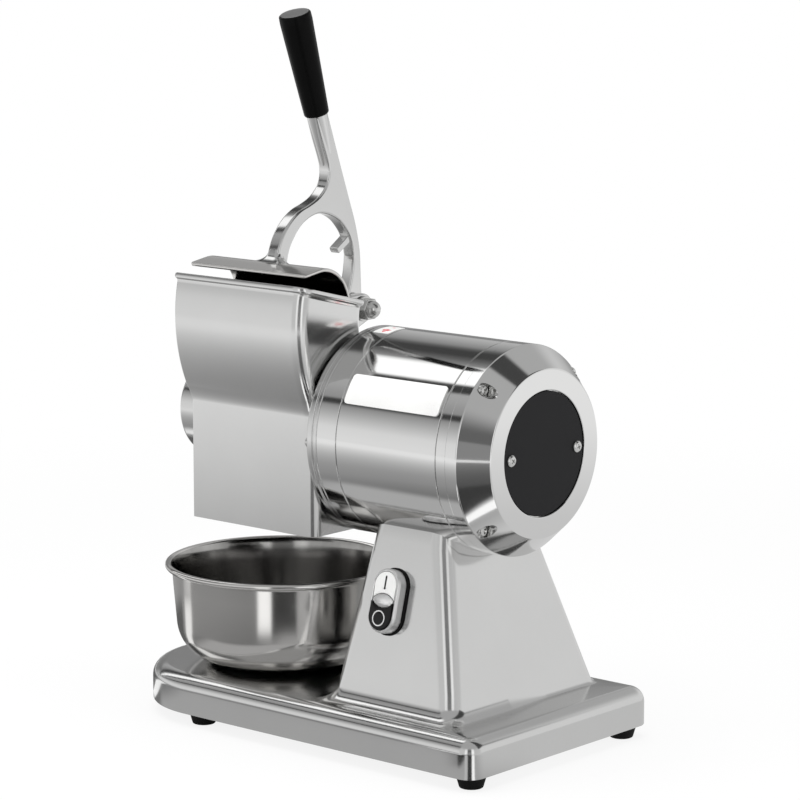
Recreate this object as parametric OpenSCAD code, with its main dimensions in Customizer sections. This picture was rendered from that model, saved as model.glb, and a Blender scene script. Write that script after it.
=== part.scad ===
// Electric grater for hard cheese: a motor on a cast stand drives a grating drum,
// and a hand lever swings an arched presser down a curved hopper onto the drum.
// +X runs along the motor shaft towards the rear cap, -Y is the switch side, +Z is up.

/* [Base] */
// Length of the base along the shaft
base_l = 441; // [425:1:480]
// Width of the base
base_w = 257; // [248:1:280]
// Height of the base's top above the floor
base_top = 47; // [42:0.5:55]
// Plan radius of the two corners at the bowl end
end_r = 95; // [70:1:110]
// Plan radius of the two corners at the motor end
corner_r = 16; // [14:1:20]
// Rounding of the base's top edge
top_round = 14; // [6:1:14]
// Wall thickness of the castings
casting_t = 5; // [4:0.5:6]
// Height of the rubber feet
foot_h = 11.5; // [9:0.5:14]
// Largest radius of the rubber feet
foot_r = 13.5; // [11.5:0.5:16]
// Foot centres from the motor end and from the bowl end
foot_inset = [18, 101]; // [10:1:120]
// Foot centres from the long sides
foot_side_inset = 21; // [18:1:26]

/* [Pedestal] */
// Where the pedestal's foot starts and ends along the shaft
ped_x = [27, 174]; // [20:1:180]
// Where the pedestal's top starts and ends along the shaft
ped_top_x = [45.5, 127]; // [40:1:130]
// Half width of the pedestal at its foot
ped_half = 104.5; // [95:0.5:110]
// Half width of the pedestal at its top
ped_top_half = 60; // [54:0.5:68]
// Depth under the shaft at which the pedestal's taper ends, inside the motor tube
ped_drop = 61; // [55:1:66]
// Radius of the pedestal's upright corners
ped_corner = 16; // [10:1:24]

/* [Motor] */
// Offset of the shaft from the base's centre line
axis_y = 6; // [0:0.5:10]
// Height of the shaft
axis_z = 276; // [268:0.5:290]
// Outer radius of the motor
tube_r = 95; // [90:0.5:100]
// Wall of the motor tube
tube_t = 4; // [3:0.5:6]
// Where the motor tube starts along the shaft
tube_front = 29; // [22:1:36]
// Length of the motor tube
tube_l = 116; // [104:1:130]
// Length of the front end ring
front_ring_l = 23.5; // [21:0.5:28]
// Length of the rear end shield's rim
rear_shield_l = 11; // [10:0.5:15]
// Length of the rear cap's round part and of its bevel
cap_l = [12, 23.5]; // [10:0.5:26]
// Radius of the rear cap's flat face
cap_face_r = 75.5; // [70:0.5:82]
// Radius of the black rear disc
disc_r = 55.8; // [50:0.1:60]
// Radius of the shaft in its ball bearings
shaft_r = 10; // [9:0.5:11]

/* [Hopper] */
// Length of the hopper body along the shaft
hopper_l = 157; // [140:1:170]
// Lever hinge behind and above the shaft
hinge_off = [56, 98.5]; // [50:0.5:105]
// Outer radius of the curved front wall about the hinge
front_wall_r = 154; // [148:0.5:160]
// Outer radius of the back wall about the hinge
back_wall_r = 69; // [66:0.5:72]
// Slope of the mouth, falling towards the hinge
mouth_tilt = 14; // [11:0.5:19]
// Height of the mouth's front edge above the hinge
mouth_rise = 40.5; // [36:0.5:43]
// Front and back faces of the outlet chute, measured from the shaft
chute_off = [-80, 48]; // [-86:1:54]
// Depth of the outlet chute's lower edge under the shaft
chute_drop = 91.5; // [80:0.5:105]
// Thickness of the flange on the motor
flange_t = 13.5; // [12:0.5:16]
// Length of the end cover along the shaft
end_cover_l = 33; // [28:0.5:36]
// Radius of the end cover
end_cover_r = 48; // [46:0.5:52]

/* [Drum] */
// Radius of the grating drum
drum_r = 31.5; // [28:0.5:33]
// Wall thickness of the grating drum
drum_t = 3; // [2:0.5:4]

/* [Lever] */
// Thickness of the lever
lever_t = 14; // [11:1:18]
// Radius of the lever's arch
arch_r = 47.5; // [45:0.5:50]
// Width of the lever's arch
arch_t = 11; // [9:0.5:13]
// Length of the grip
grip_l = 100; // [90:1:120]
// Grip radius at the lever and at its free end
grip_r = [11.8, 15.3]; // [10:0.1:16]
// Lean of the grip towards the front
grip_lean = 17.5; // [14:0.5:21]
// Outer radius of the presser's arch
presser_r = 37; // [35:0.5:38]
// Plate thickness of the presser
presser_t = 3.5; // [2.5:0.5:4]
// Gap between the presser's ends and the hopper's end walls
presser_gap = 3; // [1:0.5:6]

/* [Bowl] */
// Centre of the bowl on the base
bowl_at = [-106.5, -13]; // [-112:0.5:0]
// Radius of the bowl's rolled rim
bowl_r = 110.5; // [105:0.5:118]
// Height of the bowl
bowl_h = 94; // [80:1:110]
// Sheet thickness of the bowl
bowl_t = 1.5; // [1:0.1:2]

/* [Switch] */
// Centre of the switch along the shaft and in height
switch_at = [82.5, 140]; // [80:0.5:142]
// Width and length of the switch bezel
bezel = [31, 58]; // [28:0.5:66]
// Turn of the switch on the pedestal's face
switch_turn = 0; // [-12:1:12]
// Travel of the push buttons
button_travel = 2.5; // [2:0.1:3]

/* [Hidden] */
$fn = 96;

// Number of facets on the parts of a blended shape
blend_fn = 32;
// Thickness of the slabs that a blended shape is stretched over
slab_t = 0.2;
// Overshoot of cutting shapes
eps = 1;
// Clearance between pieces of different bodies
clear = 0.3;
// Running clearance of the shaft and the hinge
running = 0.04;

axis = [axis_y, axis_z];
ped_top_z = axis_z - ped_drop;
tube_x = [tube_front, tube_front + tube_l];
front_ring_x = tube_x[0] - front_ring_l;
flange_x = front_ring_x - flange_t;
rear_shield_x = tube_x[1];
cap_x = rear_shield_x + rear_shield_l;
bevel_x = cap_x + cap_l[0];
face_x = bevel_x + cap_l[1];
inner_r = tube_r - tube_t;
rim_t = 10;
web_t = 7;
spigot_l = 4;
quarter_turns = [45:90:315];

// Ball bearing: outer radius, width, shield groove and the wall of its housing
bearing_r = 23.5;
bearing_w = 14;
bearing_groove = [16.5, 1.6];
bearing_wall = 7.5;
front_bearing_x = front_ring_x + 4;
rear_bearing_x = rear_shield_x + 3;

// Rotor and stator
core_inset = [19, 17];
core_x = [tube_x[0] + core_inset[0], tube_x[1] - core_inset[1]];
core_bore = 46;
air_gap = 0.6;
winding_r = 67;
winding_l = 11;
cage_ring = [32, 42];
cage_ring_l = 8;
rotor_shaft_r = shaft_r + 2;
drum_shaft_r = shaft_r - 1;
tail_shaft_r = shaft_r - 2;
shaft_end_x = face_x - 11;
seal_r = shaft_r + 7;
seal_lip = 2;
seal_x = [flange_x + 2, flange_x + 9];
fan_r = 58;
fan_l = 12;
fan_hub_r = 15;
fan_gap = 2.5;
blade_t = 2;
blade_r = [20, 57];

// Pan-head screw: head radius and height
pan_r = 5.2;
pan_h = 4.5;

// Screws of the motor
cap_screw_ring = tube_r - 7;
cap_screw_r = 2.5;
cap_screw_l = 8;
cap_pocket_r = 6.5;
cap_pocket_x = bevel_x + 2;
cap_boss_r = 7;
cap_boss_in = 3;
disc_screw_y = disc_r - 9.3;
disc_screw_r = 2;
disc_screw_l = 4;
disc_head = [5.4, 2.9];
disc_ledge = 5;
disc_gap = 0.7;
disc_sunk = 1;
disc_t = 3.5;
disc_seat_t = 4;
disc_x = face_x - disc_sunk - disc_t;
disc_face_x = disc_x + disc_t;
saddle_t = 7;
motor_bolt_x = [66, 106];
motor_bolt_r = 4;
motor_bolt_head = [7.5, 5];
motor_bolt_lift = 1.5;
flange_screw_ring = tube_r - 8;
flange_screw_angles = [181, 72, 25, 338];
flange_screw_r = 3;
flange_screw_l = 15;

// Plates on the motor: angles round the shaft and thickness
glue_t = 0.1;
label_inset = [3, 4];
label_angles = [138.5, 156];
label_t = 0.6;
sticker_inset = [3, 2];
sticker_angles = [88, 103];
sticker_t = 0.4;

// Hopper
collar_l = 3;
collar_r = 78;
end_collar_l = 12;
hopper_x = [flange_x - collar_l - hopper_l, flange_x - collar_l];
hinge = axis + hinge_off;
mouth_front = hinge + [-sqrt(pow(front_wall_r, 2) - pow(mouth_rise, 2)), mouth_rise];
mouth_angle = 150;
sector_end = 236;
cavity_end = 230;
rim_end = 200;
rim_lip = 3;
rim_h = 6;
hopper_round = 9;
chamber_gap = 3.5;
chamber_r = drum_r + chamber_gap;
housing_r = chamber_r + 11;
door_r = chamber_r + 1;
chute_y = [axis_y + chute_off[0], axis_y + chute_off[1]];
chute_z = axis_z - chute_drop;
chute_inset = [4, 1];
chute_open_z = axis_z - 24;
chute_top_z = hinge[1] - 79;
end_cover_x = [hopper_x[0] - end_collar_l - end_cover_l, hopper_x[0] - end_collar_l];
end_dome = 4;
end_wall = 8;
end_spigot_t = 6;
bush_r = [shaft_r - 2, shaft_r + 1];
bush_wall = 6;
end_screw_ring = end_cover_r - 6.5;
end_screw_r = 2.5;
end_screw_l = 8;
end_head = [4.2, 4];
end_head_depth = 8;

// Drum on its shaft
drum_gap = [8, 7];
drum_x = [hopper_x[0] + drum_gap[0], hopper_x[1] - drum_gap[1]];
drum_hub = [12, 44];
key_w = 6;
key_l = 30;
key_x = drum_x[1] - 40;
drum_nut_r = 15;
drum_nut_h = 9;
drum_nut_x = drum_x[0] - drum_nut_h;
bush_gap = 1.5;
bush_x = [end_cover_x[0] + end_wall + 3, drum_nut_x - bush_gap];

// Hinge
hub_w = lever_t + 2;
ear_t = 10;
ear_r = 14;
ear_gap = 0.5;
pin_r = 6;
washer_t = 2.5;
washer_r = 12;
nut_r = 10.9;
nut_h = 8;
head_h = 7.5;
dome_r = 8.5;
lever_x = (hopper_x[0] + hopper_x[1]) / 2;
ear_in = hub_w / 2 + ear_gap;
ear_out = ear_in + ear_t;
hub_r = 12.5;
lever_bush_r = 8.5;

// Presser inside the hopper's walls
wall_gap = 2;
lip_angle = 161;
lip_r = front_wall_r - casting_t - wall_gap;
lip_end = hinge + lip_r * [cos(lip_angle), sin(lip_angle)];
lip_corner = 4;
presser_up = 16.3;
presser_c = hinge + [-(back_wall_r + casting_t + wall_gap + presser_r), presser_up];
presser_span = [6, 100];
presser_lip_at = 97;
pad_w = 34;
pad_t = 6;
pad_span = [58, 84];
presser_screw_r = 2.5;
presser_screw_gap = 20;
presser_screw_at_angle = 71;
presser_head = [4.6, 3];
presser_head_sunk = 1.5;

// Lever outline, measured from the hinge
arch_shift = 0.5;
arch_up = 45;
arch_c = hinge + [-arch_r - arch_shift, arch_up];
grip_at = [-43.5, 184];
grip_foot = hinge + grip_at;
fork_at = [-22, 54];
neck_at = [-48, 108];
neck_c = [-54, 130];
stem_neck_r = 20;
back_edge = [[-18.5, 139], [-4.5, 101], [7, 66]];
toe = [[8, 6], [5, 14], [6, 8]];
finger = [[-1, 76], [-21, 59], [-18, 53.5], [-0.5, 64]];
hub_step = [2, 16];
stem_half = 8.5;
stud_r = 5;
stud_l = 70;
stud_foot = 28;
grip_nose = 4;

// Pedestal faces
ped_lean = atan((ped_half - ped_top_half) / (ped_top_z - base_top));
function ped_mix(a, b, z) = a + (b - a) * (z - base_top) / (ped_top_z - base_top);
function ped_half_at(z) = ped_mix(ped_half, ped_top_half, z);
foot_fillet = 9;
edge_round = min(top_round, corner_r - 1);
edge_step = 4;

// Switch and gland
gasket_t = 2;
bezel_h = 11;
bezel_rim = 2.5;
neck_r = 11;
plunger_r = 1.4;
plunger_y = 8.6;
plunger_l = 10;
plunger_end_gap = 2;
bezel_floor = 0.8;
gasket_margin = 1.5;
button_gap = 0.4;
button_lens_gap = 0.5;
start_proud = 0.2;
stop_proud = 2;
lens_half = 6.2;
lens_w = bezel[0] - 2 * bezel_rim - 1;
lens_bow_r = (lens_w * lens_w / 4 + lens_half * lens_half) / (2 * lens_half);
lens_bow_y = lens_bow_r - lens_half;
block_size = [28, 46, 34];
block_gap = 3;
button_floor = 4.2;
gland_at = [110, 82];
gland_bore_r = 4;
gland_thread_r = 8;
gland_hex_r = 13;
gland_hex_h = 5;
gland_body_h = 8;
gland_cap = [11.5, 8];
gland_cap_h = [6, 10];
gland_tail = 7;
locknut_h = 4.5;

// Feet and covers
foot_at = [
  [base_l / 2 - foot_inset[0], -base_w / 2 + foot_side_inset],
  [base_l / 2 - foot_inset[0], base_w / 2 - foot_side_inset],
  [-base_l / 2 + foot_inset[1], -base_w / 2 + foot_side_inset],
  [-base_l / 2 + foot_inset[1], base_w / 2 - foot_side_inset]
];
foot_screw_r = 2.5;
foot_head_r = 5;
foot_post_r = 10;
foot_screw_l = 25;
foot_head_h = 3.5;
foot_head_z = 2;
foot_pocket_gap = 0.5;
foot_taper = [3, 2];
cover_t = 1.5;
cover_sunk = 0.5;
cover_z = foot_h + cover_sunk;
cover_gap = 0.5;
cover_post_at = [[-180, 0], [0, -100], [0, 100], [195, 0]];
cover_post_r = 6;
cover_screw_r = 2;
cover_screw_l = 13;
cover_head_h = 2;

// Bowl
bowl_floor_r = 60;
bowl_knee = 40;
bowl_rim_l = 6;
bowl_roll = 3;
bowl_lean = 5;

// Electrical pieces on the bottom cover
capacitor_at = [128, 55];
capacitor_r = 20;
capacitor_h = 78;
tab_size = [2, 6, 8];
tab_x = 6;
terminal_at = [44, 30];
terminal_size = [60, 22, 18];
terminal_pitch = 11;
terminal_count = 5;
terminal_hole = [3, 10];

// Outline helpers
function polar(r, a) = r * [cos(a), sin(a)];
function arc(c, r, a0, a1, n) = [for (i = [0:n]) c + polar(r, a0 + (a1 - a0) * i / n)];

// Draws a Y-Z outline and gives it a length along the shaft
module along_x(x0, x1) {
  translate([x0, 0, 0])
    rotate([90, 0, 90])
      linear_extrude(x1 - x0)
        children();
}

// Turns a profile of radius against X about an axis parallel to the shaft
module turned(at) {
  translate([0, at[0], at[1]])
    rotate([0, 90, 0])
      rotate_extrude()
        children();
}

// The same over part of a turn, between two angles measured from +Y towards +Z
module turned_part(at, a0, a1) {
  translate([0, at[0], at[1]])
    rotate([0, 90, 0])
      rotate([0, 0, a0 + 90])
        rotate_extrude(angle = a1 - a0)
          children();
}

module rod(x0, x1, at, r) {
  translate([x0, at[0], at[1]])
    rotate([0, 90, 0])
      cylinder(r = r, h = x1 - x0);
}

// Ring section of radius against X
module band(r0, r1, x0, x1) {
  translate([r0, x0])
    square([r1 - r0, x1 - x0]);
}

// Band whose two outer corners are round
module round_band(r0, r1, x0, x1, c) {
  band(r0, r1 - c, x0, x1);
  band(r0, r1, x0 + c, x1 - c);
  for (x = [x0 + c, x1 - c])
    translate([r1 - c, x])
      circle(c);
}

// Wedge of a circle in the Y-Z plane
module wedge(at, r, a0, a1) {
  polygon(concat([at], arc(at, r, a0, a1, 8)));
}

function on_axis(ring, angle) = axis + ring * [cos(angle), sin(angle)];

// Frame on the pedestal's front or back face, local Z pointing out of the face
module on_face(x, z, side, turn = 0) {
  translate([x, axis_y + side * ped_half_at(z), z])
    rotate([-side * (90 - ped_lean), 0, 0])
      rotate([0, 0, turn])
        children();
}

// Base outline seen from above
module base_plan(inset) {
  l = base_l / 2 - inset;
  w = base_w / 2 - inset;
  er = end_r - inset;
  cr = corner_r - inset;
  translate([-l + er, -w])
    square([2 * l - er - cr, 2 * w]);
  translate([-l, -w + er])
    square([er, 2 * (w - er)]);
  translate([l - cr, -w + cr])
    square([cr, 2 * (w - cr)]);
  for (s = [-1, 1]) {
    translate([-l + er, s * (w - er)])
      circle(er);
    translate([l - cr, s * (w - cr)])
      circle(cr);
  }
}

// Upright edge profile with its outer top corner rounded
module edge_profile(w) {
  h = base_top - foot_h;
  translate([0, foot_h])
    square([w - edge_round, h]);
  translate([0, foot_h])
    square([w, h - edge_round]);
  translate([w - edge_round, base_top - edge_round])
    intersection() {
      circle(edge_round);
      square(edge_round);
    }
}

// Quarter of a round corner of the base
module base_corner(at, r, a0) {
  translate([at[0], at[1], 0])
    rotate([0, 0, a0])
      rotate_extrude(angle = 90)
        edge_profile(r);
}

// Base block with its top edge rounded: two strips, a middle and four corners
module base_block() {
  l = base_l / 2;
  w = base_w / 2;
  along_x(-l + end_r, l - corner_r)
    union() {
      edge_profile(w);
      mirror([1, 0])
        edge_profile(w);
    }
  translate([-l + end_r, w - end_r, 0])
    rotate([90, 0, 0])
      mirror([1, 0, 0])
        linear_extrude(2 * (w - end_r))
          edge_profile(end_r);
  translate([l - corner_r, w - corner_r, 0])
    rotate([90, 0, 0])
      linear_extrude(2 * (w - corner_r))
        edge_profile(corner_r);
  base_corner([-l + end_r, w - end_r], end_r, 90);
  base_corner([-l + end_r, -w + end_r], end_r, 180);
  base_corner([l - corner_r, -w + corner_r], corner_r, 270);
  base_corner([l - corner_r, w - corner_r], corner_r, 0);
}

// One level of the pedestal, grown outwards by a distance
module ped_slab(z, grow) {
  r = ped_corner + min(grow, 0) / 2;
  for (end = [0, 1], s = [-1, 1])
    translate([
      ped_mix(ped_x[end], ped_top_x[end], z) + (end == 0 ? r - grow : grow - r),
      axis_y + s * (ped_half_at(z) + grow - r),
      z - slab_t
    ])
      cylinder(r = r, h = slab_t, $fn = blend_fn);
}

module ped_block(z0, z1, grow0, grow1) {
  hull() {
    ped_slab(z0, grow0);
    ped_slab(z1, grow1);
  }
}

module base_shell() {
  difference() {
    union() {
      base_block();
      ped_block(base_top - eps, ped_top_z, 0, 0);
      ped_block(base_top - casting_t / 4, base_top + 0.3 * foot_fillet, foot_fillet, 0.45 * foot_fillet);
      ped_block(base_top + 0.2 * foot_fillet, base_top + foot_fillet, 0.45 * foot_fillet, 0);
    }
    translate([0, 0, foot_h - eps])
      linear_extrude(base_top - edge_round - foot_h + eps)
        base_plan(casting_t);
    translate([0, 0, foot_h])
      linear_extrude(base_top - casting_t - foot_h)
        base_plan(casting_t + edge_step);
    difference() {
      ped_block(base_top - casting_t - eps, ped_top_z - eps, -casting_t, -casting_t);
      rod(0, base_l / 2, axis, tube_r + saddle_t);
    }
  }
}

module posts(list, r, z0) {
  for (p = list)
    translate([p[0], p[1], z0])
      cylinder(r = r, h = base_top - casting_t + 0.5 - z0);
}

module base_casting() {
  color("silver")
    difference() {
      union() {
        base_shell();
        posts(foot_at, foot_post_r, foot_h);
        posts(cover_post_at, cover_post_r, cover_z + cover_t);
      }
      rod(0, base_l / 2, axis, tube_r);
      for (p = foot_at)
        translate([p[0], p[1], foot_h - eps])
          cylinder(r = foot_screw_r, h = foot_screw_l);
      for (p = cover_post_at)
        translate([p[0], p[1], cover_z])
          cylinder(r = cover_screw_r, h = cover_screw_l + eps);
      for (x = motor_bolt_x)
        translate([x, axis_y, axis_z - tube_r - saddle_t - eps])
          cylinder(r = motor_bolt_r, h = saddle_t + 2 * eps);
      on_face(switch_at[0], switch_at[1], -1)
        translate([0, 0, -2 * casting_t])
          cylinder(r = neck_r, h = 4 * casting_t);
      on_face(gland_at[0], gland_at[1], 1)
        translate([0, 0, -2 * casting_t])
          cylinder(r = gland_thread_r, h = 4 * casting_t);
    }
}

module bottom_cover() {
  color("lightgray")
    translate([0, 0, cover_z])
      difference() {
        linear_extrude(cover_t)
          base_plan(casting_t + cover_gap);
        for (p = foot_at)
          translate([p[0], p[1], -eps])
            cylinder(r = foot_post_r + cover_gap, h = cover_t + 2 * eps);
        for (p = cover_post_at)
          translate([p[0], p[1], -eps])
            cylinder(r = cover_screw_r, h = cover_t + 2 * eps);
      }
}

module cover_screws() {
  color("dimgray")
    for (p = cover_post_at)
      translate([p[0], p[1], cover_z - cover_head_h]) {
        cylinder(r = 2 * cover_screw_r, h = cover_head_h);
        cylinder(r = cover_screw_r, h = cover_head_h + cover_screw_l);
      }
}

module foot(i) {
  color("#202020")
    translate([foot_at[i][0], foot_at[i][1], 0])
      difference() {
        rotate_extrude()
          polygon([
            [0, 0], [foot_r - foot_taper[0], 0], [foot_r - foot_taper[1], 1],
            [foot_r, foot_h], [0, foot_h]
          ]);
        translate([0, 0, -eps])
          cylinder(r = foot_head_r + foot_pocket_gap, h = foot_head_z + foot_head_h + eps);
        cylinder(r = foot_screw_r, h = foot_h + eps);
      }
}

module foot_front_left() {
  foot(2);
}

module foot_front_right() {
  foot(0);
}

module foot_rear_left() {
  foot(3);
}

module foot_rear_right() {
  foot(1);
}

module foot_screws() {
  color("gray")
    for (p = foot_at)
      translate([p[0], p[1], foot_head_z]) {
        cylinder(r = foot_head_r, h = foot_head_h);
        cylinder(r = foot_screw_r, h = foot_screw_l);
      }
}

module motor_tube() {
  color("gainsboro")
    difference() {
      turned(axis)
        band(tube_r - tube_t, tube_r, tube_x[0], tube_x[1]);
      for (x = motor_bolt_x)
        translate([x, axis_y, axis_z - tube_r - eps])
          cylinder(r = motor_bolt_r, h = tube_t + 2 * eps);
    }
}

module front_ring() {
  color("silver")
    difference() {
      turned(axis) {
        band(inner_r - rim_t, tube_r, front_ring_x, tube_x[0]);
        band(inner_r - rim_t, inner_r, front_ring_x, tube_x[0] + spigot_l);
        band(bearing_r + bearing_wall - eps, inner_r, front_ring_x, front_ring_x + web_t);
        band(bearing_r, bearing_r + bearing_wall, front_ring_x, front_bearing_x + bearing_w);
        band(rotor_shaft_r + seal_lip, bearing_r + eps, front_ring_x, front_bearing_x);
      }
      for (a = flange_screw_angles)
        rod(front_ring_x - eps, front_ring_x + flange_screw_l + eps, on_axis(flange_screw_ring, a),
          flange_screw_r);
    }
}

module rear_shield() {
  color("silver")
    difference() {
      turned(axis) {
        band(inner_r - rim_t, tube_r, rear_shield_x, cap_x);
        band(inner_r - rim_t, inner_r, rear_shield_x - spigot_l, cap_x);
        band(bearing_r + bearing_wall - eps, inner_r, cap_x - web_t, cap_x);
        band(bearing_r, bearing_r + bearing_wall, rear_shield_x, rear_bearing_x + bearing_w);
        band(rotor_shaft_r + seal_lip, bearing_r + eps, rear_shield_x, rear_bearing_x);
      }
      for (a = quarter_turns)
        rod(cap_x - cap_screw_l - eps, cap_x + eps, on_axis(cap_screw_ring, a), cap_screw_r);
    }
}

module rear_cap() {
  ledge_r = disc_screw_y - disc_ledge;
  hole_r = disc_r + disc_gap;
  color("silver")
    difference() {
      turned(axis)
        difference() {
          polygon([
            [0, cap_x], [tube_r, cap_x], [tube_r, bevel_x], [cap_face_r, face_x],
            [hole_r, face_x], [hole_r, disc_x], [ledge_r, disc_x], [0, disc_x]
          ]);
          polygon([
            [0, cap_x - eps], [tube_r - casting_t, cap_x - eps], [tube_r - casting_t, bevel_x],
            [cap_face_r - casting_t, disc_x - disc_seat_t], [ledge_r, disc_x - disc_seat_t],
            [ledge_r, face_x], [0, face_x]
          ]);
        }
      for (a = quarter_turns) {
        rod(cap_pocket_x, face_x + eps, on_axis(cap_screw_ring, a), cap_pocket_r);
        rod(cap_x - eps, face_x, on_axis(cap_screw_ring, a), cap_screw_r);
      }
      for (s = [-1, 1])
        rod(disc_x - disc_seat_t - eps, disc_x + eps, axis + [s * disc_screw_y, 0], disc_screw_r);
    }
  // Bosses that carry the cap screws down to the end shield
  color("silver")
    difference() {
      for (a = quarter_turns)
        rod(cap_x, cap_pocket_x, on_axis(cap_screw_ring - cap_boss_in, a), cap_boss_r);
      for (a = quarter_turns)
        rod(cap_x - eps, face_x, on_axis(cap_screw_ring, a), cap_screw_r);
    }
}

module cap_screws() {
  color("lightgray")
    for (a = quarter_turns) {
      rod(cap_pocket_x, cap_pocket_x + pan_h, on_axis(cap_screw_ring, a), pan_r);
      rod(cap_x - cap_screw_l, cap_pocket_x, on_axis(cap_screw_ring, a), cap_screw_r);
    }
}

module rear_disc() {
  color("#161616")
    difference() {
      rod(disc_x, disc_face_x, axis, disc_r);
      for (s = [-1, 1])
        rod(disc_x - eps, face_x, axis + [s * disc_screw_y, 0], disc_screw_r);
    }
}

module disc_screws() {
  color("lightgray")
    for (s = [-1, 1])
      turned(axis + [s * disc_screw_y, 0])
        union() {
          band(0, disc_screw_r, disc_x - disc_screw_l, disc_face_x);
          polygon([
            [0, disc_face_x], [disc_head[0], disc_face_x],
            [0.93 * disc_head[0], disc_face_x + 0.55 * disc_head[1]],
            [0.56 * disc_head[0], disc_face_x + 0.9 * disc_head[1]], [0, disc_face_x + disc_head[1]]
          ]);
        }
}

module motor_bolts() {
  head_z = axis_z - tube_r - saddle_t - motor_bolt_lift;
  color("gray")
    for (x = motor_bolt_x) {
      translate([x, axis_y, head_z - motor_bolt_head[1]])
        cylinder(r = motor_bolt_head[0], h = motor_bolt_head[1], $fn = 6);
      translate([x, axis_y, head_z - eps])
        cylinder(r = motor_bolt_r, h = axis_z - inner_r - head_z + eps);
    }
}

module stator_core() {
  color("#6f7276")
    turned(axis)
      band(core_bore, inner_r, core_x[0], core_x[1]);
}

module winding(x0, x1) {
  color("#b06a2c")
    turned(axis)
      translate([winding_r, (x0 + x1) / 2])
        scale((x1 - x0) / 2)
          union() {
            circle(1);
            translate([-1.5, -1])
              square([3, 2]);
            for (s = [-1.5, 1.5])
              translate([s, 0])
                circle(1);
          }
}

module front_winding() {
  winding(core_x[0] - winding_l, core_x[0]);
}

module rear_winding() {
  winding(core_x[1], core_x[1] + winding_l);
}

module bearing(x0) {
  color("#9fa4a8")
    turned(axis)
      difference() {
        band(shaft_r + running, bearing_r, x0, x0 + bearing_w);
        for (x = [x0, x0 + bearing_w])
          translate([bearing_groove[0], x])
            circle(bearing_groove[1]);
      }
}

module front_bearing() {
  bearing(front_bearing_x);
}

module rear_bearing() {
  bearing(rear_bearing_x);
}

module shaft_seal() {
  color("#2a2a2a")
    turned(axis)
      polygon([
        [shaft_r + running, seal_x[0] + 1.5 * seal_lip], [shaft_r + running, seal_x[0] + 2 * seal_lip],
        [seal_r - seal_lip, seal_x[1] - 0.5 * seal_lip], [seal_r - seal_lip, seal_x[1]],
        [seal_r, seal_x[1]], [seal_r, seal_x[0]], [shaft_r + seal_lip, seal_x[0]]
      ]);
}

module capacitor() {
  color("#d8d8d2")
    translate([capacitor_at[0], axis_y + capacitor_at[1], cover_z + cover_t]) {
      cylinder(r = capacitor_r, h = capacitor_h);
      for (s = [-1, 1])
        translate([s * tab_x - tab_size[0] / 2, -tab_size[1] / 2, capacitor_h])
          cube(tab_size);
    }
}

module terminal_block() {
  color("#e8e4d4")
    translate([terminal_at[0], axis_y + terminal_at[1], cover_z + cover_t])
      difference() {
        cube(terminal_size);
        for (i = [0:terminal_count - 1])
          translate([
            terminal_size[0] / 2 + terminal_pitch * (i - (terminal_count - 1) / 2),
            terminal_size[1] / 2, terminal_size[2] - terminal_hole[1]
          ])
            cylinder(r = terminal_hole[0], h = terminal_hole[1] + eps);
      }
}

module cable_gland() {
  color("#1c1c1c")
    on_face(gland_at[0], gland_at[1], 1)
      difference() {
        union() {
          translate([0, 0, -casting_t - gland_tail])
            cylinder(r = gland_thread_r, h = casting_t + gland_tail + eps);
          cylinder(r = gland_hex_r, h = gland_hex_h, $fn = 6);
          cylinder(r = gland_thread_r + 2, h = gland_body_h);
          translate([0, 0, gland_body_h])
            rotate_extrude()
              polygon([
                [0, 0], [gland_cap[0], 0], [gland_cap[0], gland_cap_h[0]],
                [gland_cap[1], gland_cap_h[1]], [0, gland_cap_h[1]]
              ]);
        }
        translate([0, 0, -casting_t - gland_tail - eps])
          cylinder(r = gland_bore_r, h = casting_t + gland_tail + gland_body_h + gland_cap_h[1] + 2 * eps);
      }
}

module gland_locknut() {
  color("#1c1c1c")
    on_face(gland_at[0], gland_at[1], 1)
      translate([0, 0, -casting_t - locknut_h])
        difference() {
          cylinder(r = gland_hex_r, h = locknut_h, $fn = 6);
          translate([0, 0, -eps])
            cylinder(r = gland_thread_r, h = locknut_h + 2 * eps);
        }
}

// Thin curved plate on the motor's surface
module skin(x0, x1, angles, t) {
  turned_part(axis, angles[0], angles[1])
    band(tube_r + glue_t, tube_r + glue_t + t, x0, x1);
}

module label_plate() {
  color("white")
    skin(tube_x[0] + label_inset[0], tube_x[1] - label_inset[1], label_angles, label_t);
}

module arrow_sticker() {
  color("white")
    skin(front_ring_x + sticker_inset[0], tube_x[0] - sticker_inset[1], sticker_angles, sticker_t);
}

module motor_shaft() {
  color("#c8ccd0")
    difference() {
      turned(axis) {
        band(0, drum_shaft_r, drum_nut_x, drum_x[1] + drum_gap[1]);
        band(0, bush_r[0] - running, bush_x[0] + eps, drum_x[0]);
        band(0, shaft_r, drum_x[1] + drum_gap[1] - eps, front_bearing_x + bearing_w + eps);
        band(0, rotor_shaft_r, front_bearing_x + bearing_w, rear_bearing_x);
        band(0, shaft_r, rear_bearing_x - eps, rear_bearing_x + bearing_w);
        band(0, tail_shaft_r, rear_bearing_x + bearing_w - eps, shaft_end_x);
      }
      translate([key_x, axis_y - key_w / 2, axis_z + drum_shaft_r - key_w / 2])
        cube([key_l, key_w, key_w]);
    }
}

module rotor() {
  color("#8a8e92")
    turned(axis) {
      band(rotor_shaft_r, core_bore - air_gap, core_x[0], core_x[1]);
      band(cage_ring[0], cage_ring[1], core_x[0] - cage_ring_l, core_x[0] + eps);
      band(cage_ring[0], cage_ring[1], core_x[1] - eps, core_x[1] + cage_ring_l);
    }
}

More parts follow.
